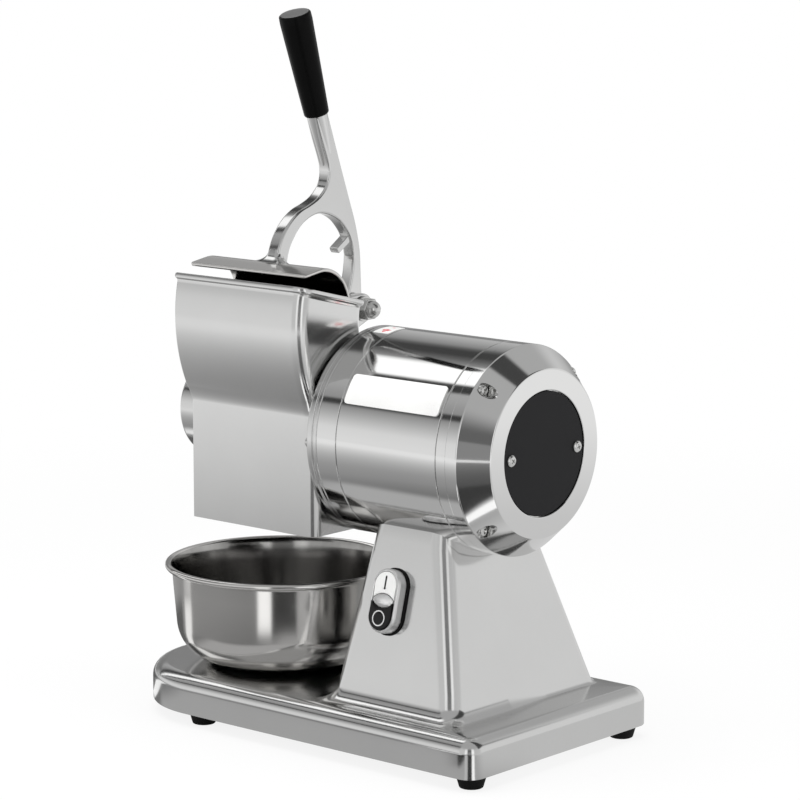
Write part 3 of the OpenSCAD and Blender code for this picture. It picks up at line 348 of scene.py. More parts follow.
def cross_head(radius, height):
    """Pan head with a cross recess, seated at local Z = 0."""
    profile = rounded([
        (0, 0), (radius, 0, 0.2), (radius, height * 0.45, height * 0.4),
        (radius * 0.72, height * 0.94, radius * 0.4), (0, height),
    ], closed=False, steps=5)
    head = turned(profile, 40)
    cutter = Shape()
    for turn in (0, 90):
        blade = Shape()
        half, wide, deep = radius * 0.56, radius * 0.13, height * 0.5
        rows = [
            blade.row([(-half * s, -wide, z), (half * s, -wide, z), (half * s, wide, z), (-half * s, wide, z)])
            for s, z in ((0.45, deep), (1.0, height + 0.5))
        ]
        blade.skin(rows).lid(rows[0]).lid(rows[1])
        cutter.add(blade.moved(Matrix.Rotation(math.radians(turn), 4, "Z")))
    mesh = carved(head.mesh("head"), cutter)
    shape = Shape()
    shape.points = [tuple(v.co / MM) for v in mesh.vertices]
    shape.faces = [list(p.vertices) for p in mesh.polygons]
    shape.marks = [0] * len(shape.faces)
    bpy.data.meshes.remove(mesh)
    return shape


def copies(shape, places):
    """One shape repeated at several places."""
    out = Shape()
    for place in places:
        one = Shape().add(shape)
        out.add(one.moved(place))
    return out


def screw_pockets(r, ring, x0, x1, steps):
    """Cutter for round pockets on a circle about the shaft."""
    hole = turned([(0, x0), (r, x0), (r, x1), (0, x1)], steps, loop=False)
    return copies(hole, [Matrix.Translation((0, *polar(SHAFT, ring, a))) @ ALONG for a in QUARTERS])


def carved(mesh, cutter):
    """Mesh with another shape cut out of it."""
    body = bpy.data.objects.new("carve_body", mesh)
    tool = bpy.data.objects.new("carve_tool", cutter.mesh("carve_tool"))
    for obj in (body, tool):
        bpy.context.scene.collection.objects.link(obj)
    cut = body.modifiers.new("Cut", "BOOLEAN")
    cut.object = tool
    cut.operation = "DIFFERENCE"
    cut.solver = "EXACT"
    cut.use_self = True
    bpy.context.view_layer.update()
    result = bpy.data.meshes.new_from_object(body.evaluated_get(bpy.context.evaluated_depsgraph_get()))
    for obj in (body, tool):
        data = obj.data
        bpy.data.objects.remove(obj)
        bpy.data.meshes.remove(data)
    if not result.polygons:
        raise RuntimeError("nothing was left after a cut")
    return result


def piece(name, shape, finishes, body, nodes=(), cutter=None, sharp=32, bevel=0.0):
    """Makes an object from a shape, gives it its finishes and sets it on its body."""
    mesh = shape.mesh(name)
    if cutter:
        mesh = carved(mesh, cutter)
        mesh.name = name
    mesh.polygons.foreach_set("use_smooth", [True] * len(mesh.polygons))
    mesh.set_sharp_from_angle(angle=math.radians(sharp))
    for finish in finishes:
        mesh.materials.append(finish)
    obj = bpy.data.objects.new(name, mesh)
    bpy.context.scene.collection.objects.link(obj)
    if bevel:
        round_off = obj.modifiers.new("Edges", "BEVEL")
        round_off.width = bevel * MM
        round_off.segments = 2
        round_off.limit_method = "ANGLE"
        round_off.angle_limit = math.radians(sharp)
        round_off.use_clamp_overlap = True
        round_off.harden_normals = True
    even = obj.modifiers.new("Even shading", "WEIGHTED_NORMAL")
    even.keep_sharp = True
    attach(obj, body)
    if nodes:
        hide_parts(*nodes)
    return obj


class Field:
    """A value in a shader that takes part in Python arithmetic."""

    def __init__(self, finish, socket):
        self.finish, self.socket = finish, socket

    def _join(self, operation, left, right):
        node = self.finish.add("ShaderNodeMath", {"operation": operation}, {0: left, 1: right})
        return Field(self.finish, node.outputs[0])

    def __add__(self, other):
        return self._join("ADD", self, other)

    __radd__ = __add__

    def __sub__(self, other):
        return self._join("SUBTRACT", self, other)

    def __rsub__(self, other):
        return self._join("SUBTRACT", other, self)

    def __mul__(self, other):
        return self._join("MULTIPLY", self, other)

    __rmul__ = __mul__

    def __truediv__(self, other):
        return self._join("DIVIDE", self, other)

    def __rtruediv__(self, other):
        return self._join("DIVIDE", other, self)

    def __pow__(self, other):
        return self._join("POWER", self, other)

    def unsigned(self):
        """The value without its sign."""
        return self._join("ABSOLUTE", self, 0.0)

    def over(self, other):
        """The larger of two values."""
        return self._join("MAXIMUM", self, other)

    def under(self, other):
        """The smaller of two values."""
        return self._join("MINIMUM", self, other)


class Finish:
    """Node tree of a material or the world."""

    def __init__(self, owner):
        owner.use_nodes = True
        self.owner, self.tree = owner, owner.node_tree
        self.tree.nodes.clear()

    def add(self, kind, settings=None, sockets=None):
        """Adds a node: its settings first, then the values or links of its sockets."""
        node = self.tree.nodes.new(kind)
        for key, value in (settings or {}).items():
            if key == "stops":
                ramp = node.color_ramp
                while len(ramp.elements) < len(value):
                    ramp.elements.new(0.5)
                for element, (at, level) in zip(ramp.elements, value):
                    element.position = at
                    element.color = (level, level, level, 1)
            else:
                setattr(node, key, value)
        for key, value in (sockets or {}).items():
            source = value.socket if isinstance(value, Field) else value
            if isinstance(source, bpy.types.NodeSocket):
                self.tree.links.new(source, node.inputs[key])
            else:
                node.inputs[key].default_value = source
        return node

    def field(self, kind, settings=None, sockets=None, output=0):
        """The same, giving one output as a value."""
        return Field(self, self.add(kind, settings, sockets).outputs[output])

    def coordinates(self, stretch=(1, 1, 1)):
        """Place on the piece, in metres, stretched along its directions."""
        place = self.add("ShaderNodeTexCoord").outputs["Object"]
        if stretch == (1, 1, 1):
            return place
        return self.add(
            "ShaderNodeVectorMath", {"operation": "MULTIPLY"}, {0: place, 1: stretch}
        ).outputs[0]

    def noise(self, scale, detail=2.0, stretch=(1, 1, 1), rough=0.5):
        """Soft random variation from 0 to 1."""
        return self.field("ShaderNodeTexNoise", {"noise_dimensions": "3D"}, {
            "Vector": self.coordinates(stretch), "Scale": scale, "Detail": detail, "Roughness": rough,
        })

    def between(self, low, high, share):
        """Colour that goes from one to another."""
        return self.add(
            "ShaderNodeMix", {"data_type": "RGBA"}, {0: share, 6: (*low, 1), 7: (*high, 1)}
        ).outputs[2]

    def turn(self, rise, run):
        """Angle of a direction, in degrees."""
        return self.field("ShaderNodeMath", {"operation": "ARCTAN2"}, {0: rise, 1: run}) * (180 / math.pi)

    def rise(self, value, low, high):
        """Soft step from 0 to 1 between two values."""
        return self.field("ShaderNodeMapRange", {"interpolation_type": "SMOOTHSTEP"}, {
            "Value": value, "From Min": low, "From Max": high})

    def bump(self, height, strength, depth):
        """Normal of a surface with small relief, its depth in millimetres."""
        return self.add(
            "ShaderNodeBump", None, {"Height": height, "Strength": strength, "Distance": depth * MM}
        ).outputs[0]

    def surface(self, **sockets):
        """Principled surface; names use underscores for spaces."""
        sockets = {key.replace("_", " "): value for key, value in sockets.items()}
        shader = self.add("ShaderNodeBsdfPrincipled", None, sockets)
        self.add("ShaderNodeOutputMaterial", None, {"Surface": shader.outputs[0]})
        return self.owner


def shade(colour, factor):
    """A lighter or darker version of a colour."""
    return tuple(min(1.0, c * factor) for c in colour)


def metal(name, colour, rough, swing, lines, relief, cloud_scale=16.0, tone=0.06, **more):
    """Bright metal: clouded polish, fine tool lines along a direction and a worn tone; a strong tone paints
    reflection streaks.
    """
    f = Finish(bpy.data.materials.new(name))
    cloud = f.noise(cloud_scale, 3.0)
    grain = f.noise(1.0, 2.0, lines, 0.6)
    return f.surface(
        Base_Color=f.between(shade(colour, 1 - tone), shade(colour, 1 + tone), cloud * 0.6 + grain * 0.4),
        Metallic=1.0,
        Roughness=rough + swing * (cloud - 0.5) + 0.5 * swing * (grain - 0.5),
        Normal=f.bump(grain, relief, 0.05), **more,
    )


def plastic(name, colour, rough, grain_size, relief, **more):
    """Moulded plastic or rubber: fine spark grain, slight tone and gloss changes."""
    f = Finish(bpy.data.materials.new(name))
    grain = f.noise(1000.0 / grain_size, 2.0)
    cloud = f.noise(25.0, 3.0)
    return f.surface(
        Base_Color=f.between(shade(colour, 0.85), shade(colour, 1.15), cloud * 0.7 + grain * 0.3),
        Roughness=rough + 0.12 * (cloud - 0.5) + 0.08 * (grain - 0.5),
        Normal=f.bump(grain, relief, 0.1), **more,
    )


EVEN = (900.0, 900.0, 900.0)
# Metals: colour, roughness and its swing, tool lines along X, Y and Z, their relief, and what else differs
METALS = {
    "cast_satin": ("casting", 0.14, 0.05, EVEN, 0.01, {}),
    # Painted shade: the near-black colour stands in for the shade inside the hopper
    "cast_inside": ("inside", 0.80, 0.15, (220.0, 220.0, 220.0), 0.5, {}),
    "tube_polish": ("tube", 0.08, 0.03, (2600.0, 5.0, 5.0), 0.03, {"tone": 0.03}),
    "bowl_spun": ("steel", 0.13, 0.05, (9.0, 9.0, 1500.0), 0.04, {}),
    # Painted shade and painted reflection: the darker colour stands in for the shade inside the bowl, and the
    # strong tone paints upright reflection streaks
    "bowl_inside": ("deep", 0.14, 0.08, (55.0, 55.0, 2.0), 0.02, {"tone": 0.7}),
    "presser_steel": ("steel", 0.15, 0.06, (6.0, 900.0, 900.0), 0.04, {}),
    "drum_steel": ("steel", 0.28, 0.10, (700.0, 700.0, 700.0), 0.05, {}),
    "screw_plate": ("screw", 0.22, 0.10, EVEN, 0.02, {"cloud_scale": 60.0}),
    "ground_steel": ("screw", 0.32, 0.12, (1800.0, 20.0, 20.0), 0.1, {"cloud_scale": 60.0}),
    "bronze": ("bronze", 0.35, 0.12, EVEN, 0.05, {"cloud_scale": 60.0}),
    "copper": ("copper", 0.38, 0.12, (300.0, 900.0, 900.0), 0.3, {"cloud_scale": 60.0}),
}
# Plastics and rubber: colour, roughness, grain in millimetres, its relief, and sockets that stay the same
PLASTICS = {
    "disc_black": ("black", 0.42, 0.7, 0.10, {"Specular_IOR_Level": 0.16}),
    "grip_black": ("grip", 0.22, 0.9, 0.03, {"Specular_IOR_Level": 0.05}),
    "grip_end": ("worn", 0.40, 0.9, 0.05, {}),
    "button_black": ("grip", 0.30, 0.6, 0.05, {"Specular_IOR_Level": 0.3}),
    "rubber": ("rubber", 0.62, 0.8, 0.25, {"Specular_IOR_Level": 0.12}),
    "bezel_grey": ("bezel", 0.18, 0.6, 0.04, {"Metallic": 0.6}),
    "white_plastic": ("white", 0.36, 0.6, 0.04, {}),
    "lens": ("lens", 0.14, 0.9, 0.02, {"Transmission_Weight": 0.55, "IOR": 1.49}),
    "label_white": ("white", 0.30, 0.8, 0.03, {}),
    "arrow_red": ("arrow", 0.35, 0.8, 0.03, {}),
    "dark_plastic": ("black", 0.5, 0.8, 0.15, {}),
}
FINISHES = {}


def finish(name):
    """The material of that name, made when it is first asked for."""
    if name not in FINISHES:
        make, table = (metal, METALS) if name in METALS else (plastic, PLASTICS)
        tone, *values, more = table[name]
        FINISHES[name] = make(name, getattr(bpy.context.scene.grater_colours, tone), *values, **more)
    return FINISHES[name]


def length(name, default, text):
    """A length that a user may change."""
    return FloatProperty(
        name=name, description=text, default=default * MM, min=0, subtype="DISTANCE", unit="LENGTH"
    )


def colour(name, default, text):
    """A colour that a user may change."""
    return FloatVectorProperty(
        name=name, description=text, default=default, size=3, min=0, max=1, subtype="COLOR"
    )


class GraterSizes(bpy.types.PropertyGroup):
    """Sizes of the dressed pieces."""

    top_round: length("Top round", 14.0, "Round along the base's top edge")
    end_corner: length("Bowl end corner", 95.0, "Plan corner of the base at the bowl's end")
    motor_corner: length("Motor end corner", 16.0, "Plan corner of the base at the motor's end")
    foot_fillet: length("Foot fillet", 12.0, "Cove where the pedestal meets the base")
    wall: length("Casting wall", 5.0, "Thickness of the cast walls")
    turned_edge: length("Turned edge", 0.9, "Softened edge of the turned rings")
    hopper_corner: length("Hopper corner", 12.0, "Round of the hopper's front corner at the motor")
    hopper_edge: length("Hopper edge", 2.5, "Round of the hopper's corners at its free end")
    rim_lip: length("Rim lip", 3.0, "How far the hopper's rim stands out")
    rim_height: length("Rim height", 5.0, "Height of the hopper's rim")
    lever_edge: length("Lever edge", 2.6, "Round of the lever's edges")
    presser_edge: length("Presser edge", 1.3, "Round of the presser's edges")
    lip_corner: length("Lip corner", 3.5, "Plan corner of the presser's lip")
    tooth_height: length("Tooth height", 1.7, "Height of the drum's teeth")
    tooth_rows: IntProperty(name="Tooth rows", description="Rows of teeth along the drum", default=16, min=1)
    teeth: IntProperty(name="Teeth in a row", description="Teeth around the drum", default=26, min=3)
    bowl_sheet: length("Bowl sheet", 1.0, "Thickness of the bowl's sheet")
    bowl_bead: length("Bowl bead", 3.0, "Radius of the bowl's rolled rim")
    label_corner: length("Label corner", 3.5, "Round of the label's corners")


class GraterColours(bpy.types.PropertyGroup):
    """Colours of the finishes."""

    casting: colour("Casting", (0.72, 0.72, 0.715), "Linished and polished aluminium casting")
    # Painted shade: this near black stands in for the shade inside the hopper, not for the casting's own colour
    inside: colour("Casting inside", (0.018, 0.018, 0.018), "Unpolished inside of the castings")
    tube: colour("Tube", (0.80, 0.80, 0.795), "Turned and polished motor tube")
    steel: colour("Steel", (0.70, 0.69, 0.675), "Stainless sheet")
    # Painted shade: the same stainless sheet as outside, made darker for the shade inside the bowl
    deep: colour("Bowl inside", (0.40, 0.395, 0.385), "Stainless sheet inside the bowl")
    screw: colour("Screws", (0.68, 0.68, 0.67), "Plated screws and nuts")
    bronze: colour("Bronze", (0.52, 0.33, 0.13), "Bushes")
    copper: colour("Winding", (0.55, 0.22, 0.09), "Enamelled copper wire")
    black: colour("Black plastic", (0.010, 0.010, 0.011), "Rear disc and inner plastic pieces")
    grip: colour("Grip", (0.004, 0.004, 0.004), "Lever grip and stop button")
    worn: colour("Grip end", (0.10, 0.10, 0.10), "Rubbed end of the grip")
    rubber: colour("Rubber", (0.007, 0.007, 0.007), "Feet and gasket")
    bezel: colour("Bezel", (0.74, 0.74, 0.74), "Switch bezel")
    white: colour("White", (0.80, 0.80, 0.79), "Start button and label")
    lens: colour("Lens", (0.70, 0.70, 0.70), "Pilot lens")
    arrow: colour("Arrow", (0.62, 0.03, 0.05), "Rotation arrow")
    floor: colour("Floor", (0.82, 0.82, 0.82), "Floor and backdrop")


def size(name):
    """A size of the group, in millimetres."""
    return getattr(bpy.context.scene.grater_sizes, name) / MM


def plan_hits(angles, centre, middle, half, radii):
    """Distance from a centre to a rounded rectangle along each angle; radii at its low and high X ends."""
    away = np.stack([np.cos(angles), np.sin(angles)], 1)
    near, far = np.zeros(len(angles)), np.full(len(angles), 600.0)
    for _ in range(42):
        reach = (near + far) / 2
        spot = centre + away * reach[:, None] - middle
        r = np.where(spot[:, 0] < 0, radii[0], radii[1])
        q = np.abs(spot) - half + r[:, None]
        gap = np.minimum(q.max(1), 0) + np.linalg.norm(np.maximum(q, 0), axis=1) - r
        near, far = np.where(gap < 0, reach, near), np.where(gap < 0, far, reach)
    return centre + away * near[:, None]


class GRATER_OT_base(bpy.types.Operator):
    """Base and pedestal, cast in one"""

    bl_idname = "grater.base"
    bl_label = "Base and pedestal"

    def execute(self, context):
        centre = np.array([100.0, SHAFT[0]])
        angles = np.linspace(0, 2 * math.pi, 880, endpoint=False)
        half = np.array([BASE_HIGH.x, BASE_HIGH.y])
        wall, top = size("wall"), size("top_round")
        corner = (size("end_corner"), size("motor_corner"))
        low = BASE_LOW.z

        def plan(shrink):
            radii = [max(r - shrink, 1.0) for r in corner]
            return plan_hits(angles, centre, np.zeros(2), half - shrink, radii)

        def tower(z, grow):
            share = (np.asarray(z, float) - BASE_TOP) / (PED_TOP_Z - BASE_TOP)
            a, b, c = (PED_FOOT[i] + (PED_TOP[i] - PED_FOOT[i]) * share for i in range(3))
            middle = np.stack([(a + b) / 2, np.full_like(a, SHAFT[0])], -1)
            reach = np.stack([(b - a) / 2 + grow, c + grow], -1)
            return plan_hits(angles, centre, middle, reach, (PED_CORNER, PED_CORNER))

        def level(points, z):
            return np.column_stack([points, np.broadcast_to(z, len(points))])

        shape = Shape()
        rows = [shape.row(level(plan(d), z)) for d, z in (
            (wall, BASE_TOP - wall), (wall, low + 0.6), (wall - 0.6, low), (1.0, low), (0.3, low + 0.3),
            (0, low + 1.0),
        )]
        for k in range(9):
            a = math.pi / 2 * k / 8
            rows.append(shape.row(level(plan(top * (1 - math.cos(a))), BASE_TOP - top + top * math.sin(a))))
        # The cove is narrow at the back, where the pedestal stands close to the edge
        narrow = half[1] - top - SHAFT[0] - PED_FOOT[2] - 0.3
        cove = narrow + (size("foot_fillet") - narrow) * np.clip(0.5 - 1.5 * np.sin(angles), 0, 1)
        for k in range(8):
            a = math.pi / 2 * k / 7
            z = BASE_TOP + cove * (1 - math.cos(a))
            rows.append(shape.row(level(tower(z, cove * (1 - math.sin(a))), z)))
        # The walls run up to the saddle, which the tube's round cuts
        first = BASE_TOP + cove
        near, far = first.copy(), np.full(len(angles), PED_TOP_Z)
        for _ in range(30):
            z = (near + far) / 2
            y = tower(z, 0)[:, 1] - SHAFT[0]
            inside = z > SHAFT[1] - np.sqrt(np.maximum(TUBE_R**2 - y**2, 1))
            near, far = np.where(inside, near, z), np.where(inside, z, far)
        last = near
        for k in range(1, 13):
            z = first + (last - first) * k / 12
            rows.append(shape.row(level(tower(z, 0), z)))
        rows.append(shape.row(level(tower(last, -0.8), last + 0.8)))
        rows.append(shape.row(level(tower(last, -wall), last + 0.8)))
        z = np.full(len(angles), BASE_TOP - wall)
        rows.append(shape.row(level(tower(z, -wall), z)))
        shape.skin(rows + rows[:1])
        satin = [finish("cast_satin")]
        piece("base_and_pedestal", shape, satin, "stand", ["base_casting"])
        return {"FINISHED"}


class GRATER_OT_feet(bpy.types.Operator):
    """Four rubber feet"""

    bl_idname = "grater.feet"
    bl_label = "Feet"

    def execute(self, context):
        for node in ("foot_front_left", "foot_front_right", "foot_rear_left", "foot_rear_right"):
            low, high = solid_box(node)
            r, h = (high.x - low.x) / 2, high.z - low.z
            profile = rounded([
                (5.5, 0, 0.4), (r - 3, 0, 1.6), (r - 1.2, h * 0.55, 6), (r, h - 1.5, 0.6), (r, h), (2.5, h),
                (2.5, 5.5), (5.5, 5.5),
            ])
            place = Matrix.Translation(((low.x + high.x) / 2, (low.y + high.y) / 2, 0))
            foot = turned(profile, 64, place)
            piece("rubber_" + node, foot, [finish("rubber")], "stand", [node])
        return {"FINISHED"}


class GRATER_OT_motor(bpy.types.Operator):
    """Motor tube with its front ring and rear shield"""

    bl_idname = "grater.motor"
    bl_label = "Motor tube and rings"

    def execute(self, context):
        e = size("turned_edge")
        r = TUBE_R
        for name, node, inner, x0, x1 in (
            ("motor_jacket", "motor_tube", 6.0, TUBE_LOW.x, TUBE_HIGH.x),
            ("motor_front_ring", "front_ring", 40.0, solid_box("front_ring")[0].x, TUBE_LOW.x),
            ("motor_rear_ring", "rear_shield", 40.0, TUBE_HIGH.x, TUBE_HIGH.x + 11),
        ):
            tail = [(r, x1 - 0.5, e), (r - 1.1, x1 - 0.5), (r - 1.6, x1)]
            if node == "rear_shield":
                tail = [(r, x1 - 0.1), (r - 0.1, x1)]
            profile = rounded([
                (r - inner, x0), (r - 1.6, x0), (r - 1.1, x0 + 0.5), (r, x0 + 0.5, e), *tail, (r - inner, x1),
            ])
            ring = turned(profile, 256, ON_SHAFT)
            piece(name, ring, [finish("tube_polish")], "stand", [node])
        return {"FINISHED"}


class GRATER_OT_rear_cap(bpy.types.Operator):
    """Bevelled rear cap with its black disc"""

    bl_idname = "grater.rear_cap"
    bl_label = "Rear cap and disc"

    def execute(self, context):
        low, high = solid_box("rear_cap")
        disc_low, disc_high = solid_box("rear_disc")
        disc_r = (disc_high.y - disc_low.y) / 2
        face, r = high.x, TUBE_R
        recess = disc_r + 0.7
        profile = rounded([
            (0, low.x), (r - 0.1, low.x), (r, low.x + 0.1), (r, 168, 3.0), (75.5, face, 2.2),
            (recess, face, 0.8), (recess, disc_low.x), (0, disc_low.x),
        ], closed=False, steps=6)
        pockets = screw_pockets(6.5, CAP_RING, CAP_SEAT, 215, 48)
        piece(
            "rear_cap_casting", turned(profile, 192, ON_SHAFT, loop=False), [finish("tube_polish")], "stand",
            ["rear_cap"], pockets, 24, 0.7,
        )
        flat = rounded([
            (0, disc_low.x), (disc_r, disc_low.x), (disc_r, disc_high.x, 0.9), (0, disc_high.x)
        ], closed=False, steps=5)
        piece(
            "rear_disc_plate", turned(flat, 160, ON_SHAFT, loop=False), [finish("disc_black")], "stand",
            ["rear_disc"],
        )
        return {"FINISHED"}


class GRATER_OT_screws(bpy.types.Operator):
    """Cross-head screws of the cap, disc, flange and end cover"""

    bl_idname = "grater.screws"
    bl_label = "Screws"

    def execute(self, context):
        # Name, solid, head's radius and height, X of its seat, way it faces, screw circle and its angles
        groups = (
            ("cap_screw_heads", "cap_screws", 5.2, 4.5, CAP_SEAT, ALONG, CAP_RING, QUARTERS),
            ("disc_screw_heads", "disc_screws", 5.4, 2.9, 190.5, ALONG, 46.5, (0, 180)),
            ("flange_screw_heads", "flange_screws", 5.2, 4.5, -8.0, AGAINST, 87.0, (181, 72, 25, 338)),
            ("end_cover_screw_heads", "end_cover_screws", 4.2, 4.0, END_SEAT, AGAINST, END_RING, QUARTERS),
        )
        for name, node, r, h, x, way, ring, angles in groups:
            places = []
            for k, angle in enumerate(angles):
                spin = Matrix.Rotation(math.radians(18 + 31 * k), 4, "Z")
                places.append(Matrix.Translation((x, *polar(SHAFT, ring, angle))) @ way @ spin)
            heads = copies(cross_head(r, h), places)
            piece(name, heads, [finish("screw_plate")], "stand", [node])
        return {"FINISHED"}


class GRATER_OT_label(bpy.types.Operator):
    """Bare label plate and the sticker with a rotation arrow"""

    bl_idname = "grater.label"
    bl_label = "Label and arrow"

    def execute(self, context):
        low, high = solid_box("label_plate")
        r = TUBE_R
        corner = size("label_corner")

        def patch(x0, x1, a0, a1, round_mm, inner, outer):
            """Skin on the tube between two X and two angles, with round corners."""
            rows = []
            tall = math.radians(a1 - a0) * r
            for k in range(33):
                s = tall * (1 - math.cos(math.pi * k / 32)) / 2
                edge = max(0.0, round_mm - min(s, tall - s))
                pull = round_mm - math.sqrt(max(round_mm**2 - edge**2, 0))
                rows.append((a0 + (a1 - a0) * s / tall, x0 + pull, x1 - pull))
            return wrapped(rows, r + inner, r + outer, ON_SHAFT)

        plate = patch(low.x, high.x, 138.5, 156.0, corner, 0.1, 0.7)
        piece("label_plate_bare", plate, [finish("label_white")], "stand", ["label_plate"])
        low, high = solid_box("arrow_sticker")
        shape = patch(low.x, high.x, 88.0, 103.0, 2.0, 0.05, 0.35)
        middle = (low.x + high.x) / 2
        # The arrow's shaft and head: angle on the tube and half width
        rows = [(a, middle - h, middle + h) for a, h in ((91, 1.6), (97, 1.6), (97.05, 5), (101.5, 0.15))]
        shape.add(wrapped(rows, r + 0.2, r + 0.42, ON_SHAFT), 1)
        piece(
            "arrow_sticker_print", shape, [finish("label_white"), finish("arrow_red")], "stand",
            ["arrow_sticker"],
        )
        return {"FINISHED"}


class GRATER_OT_hopper(bpy.types.Operator):
    """Hopper casting: curved hopper, chute, drum housing, flange and hinge ears"""

    bl_idname = "grater.hopper"
    bl_label = "Hopper"

    # Radii of the front and back walls about the hinge, and the angles where they start and end
    front_r = 154.0
    back_r = 69.0
    mouth = (164.75, 163.2)
    foot = (204.5, 230.0)
    hopper_x = (-168.0, -11.0)
    chute_x = (-164.0, -12.0)
    chute_y = (-74.0, 54.0)
    chute_z = (184.5, 295.5)

    def levels(self):
        """Front and back points from the mouth down, with the X ends of each level."""
        out = []
        (front_mouth, back_mouth), (front_foot, back_foot) = self.mouth, self.foot
        for k in range(25):
            t = k / 24
            out.append((
                polar(HINGE, self.front_r, front_mouth + (front_foot - front_mouth) * t),
                polar(HINGE, self.back_r, back_mouth + (back_foot - back_mouth) * t), self.hopper_x,
            ))
        start = Vector(polar(HINGE, self.front_r, front_foot))
        crease = Vector((self.chute_y[0], 302.0))
        end = Vector((self.chute_y[0], 295.0))
        # The back goes over the drum housing and round the chute's shoulder
        y, z = self.chute_y[1], self.chute_z[1]
        back = [polar(HINGE, self.back_r, back_foot)] + arc(SHAFT, 46.0, 66, 26, 8)
        back = spread(back + [(y - 2.5, z), (y - 0.7, z - 0.7), (y, z - 2.5)], 13)
        for k in range(1, 13):
            t = k / 12
            front = start * (1 - t) ** 2 + crease * 2 * t * (1 - t) + end * t**2
            ends = tuple(a + (b - a) * t for a, b in zip(self.hopper_x, self.chute_x))
            out.append((tuple(front), back[k], ends))
        for z in (250.0, self.chute_z[0] + 1.2, self.chute_z[0]):
            out.append(((self.chute_y[0], z), (self.chute_y[1], z), self.chute_x))
        return out

    def ring(self, front, back, ends, grow):
        """Rounded rectangle between a front and a back point."""
        f, b = Vector(front), Vector(back)
        way = (b - f).normalized()
        f, b = f - way * grow, b + way * grow
        x0, x1 = ends[0] - grow, ends[1] + grow
        deep = (b - f).length
        outline = []
        corner, edge = size("hopper_corner"), size("hopper_edge")
        for k, r in enumerate((corner, 0.7 * corner, edge, edge)):
            r = max(r + grow, 1.0)
            spot = (x1 - r if k < 2 else x0 + r, deep - r if k in (1, 2) else r)
            outline += arc(spot, r, 90 * k - 90, 90 * k, 8)
        return [(x, f.x + way.x * d, f.y + way.y * d) for x, d in outline]

    def execute(self, context):
        lip, tall, wall = (size(k) for k in ("rim_lip", "rim_height", "wall"))
        shape = Shape()
        levels = self.levels()
        front_mouth, back_mouth = self.mouth

        def below(depth):
            return (
                polar(HINGE, self.front_r, front_mouth + math.degrees(depth / self.front_r)),
                polar(HINGE, self.back_r, back_mouth + math.degrees(depth / self.back_r)), self.hopper_x,
            )

        # Rim from the inside over the top: depth below the mouth and how far it stands out
        rim = [
            (0.8, -wall), (0.0, -wall + 0.8), (0.0, lip - 1.2), (0.35, lip - 0.4), (1.2, lip),
            (tall - 1.6, lip), (tall - 0.4, lip - 0.5), (tall + 0.3, lip - 1.8), (tall + 0.9, 0.5),
            (tall + 2.6, 0.0),
        ]
        rows = [shape.row(self.ring(*below(depth), grow)) for depth, grow in rim]
        rows += [shape.row(self.ring(*level, 0)) for level in levels[2:]]
        shape.skin(rows)
        # Inside, the end wall leaves room for the presser's lip all the way down its swing
        clear = solid_box("presser")[0].x - PRESSER_REACH - 0.4 - wall
        inner = []
        for front, back, ends in levels[::-1]:
            x0 = min(ends[0], clear) if front[1] > 240 else ends[0]
            inner.append(shape.row(self.ring(front, back, (x0, ends[1]), -wall)))
        # The inner walls take the near-black painted shade finish
        shape.skin([rows[-1]] + inner + [rows[0]], 1)
        # Curved wall that leads the cheese to the drum, also in the near-black painted shade of the inside
        guide = arc(HINGE, self.front_r - wall, 200, 221, 12)
        guide += arc(HINGE, self.front_r - 0.5, 221, 200, 12)
        shape.add(cross_slab(guide, self.chute_x[0] + 3, self.chute_x[1] - 14, 0.5), 1)
        # Flange and the cove that carries it into the hopper's side
        flange = rounded([
            (40, 5.5), (40, -14), (80, -14, 2), (83.5, -8.6, 3), (89.5, -8.6, 1.2), (93.4, -7.4, 2),
            (95, -4.5, 2), (95, -0.4, 0.8), (93.6, 0.2, 0.6), (93.6, 1.4, 0.6), (95, 2.0, 0.8), (95, 5.0, 0.5),
            (94.2, 5.5),
        ])
        shape.add(turned(flange, 224, ON_SHAFT))
        collar = rounded([(20, -167), (52, -167, 1), (48, -171, 3), (48, COLLAR_END, 0.8), (20, COLLAR_END)])
        shape.add(turned(collar, 128, ON_SHAFT))
        # Hinge ears
        ear = [polar(HINGE, 14.0, a) for a in range(-70, 105, 7)]
        near = -self.back_r - 1
        ear += from_hinge((-40, 12.5), (near - 0.5, 7), (near, -30), (-55, -39), (-30, -27))
        for x0 in (LEVER_X - 18.5, LEVER_X + 8.5):
            shape.add(cross_slab(ear, x0, x0 + 10, 1.6))
        piece(
            "hopper_body", shape, [finish("cast_satin"), finish("cast_inside")], "stand",
            ["hopper_casting"],
        )
        return {"FINISHED"}


class GRATER_OT_end_cover(bpy.types.Operator):
    """Domed cover at the drum's free end"""

    bl_idname = "grater.end_cover"
    bl_label = "End cover"

    def execute(self, context):
        low, high = solid_box("end_cover")
        r = (high.y - low.y) / 2
        x0, x1 = low.x, COLLAR_END
        profile = rounded([
            (0, x0), (r, x0, 4), (r, x1 - 0.3, 0.8), (r - 1.5, x1), (0, x1)
        ], closed=False, steps=10)
        pockets = screw_pockets(4.5, END_RING, x0 - 5, END_SEAT, 32)
        piece(
            "end_cover_dome", turned(profile, 128, ON_SHAFT, loop=False), [finish("cast_satin")], "stand",
            ["end_cover"], pockets, 28, 0.5,
        )
        return {"FINISHED"}


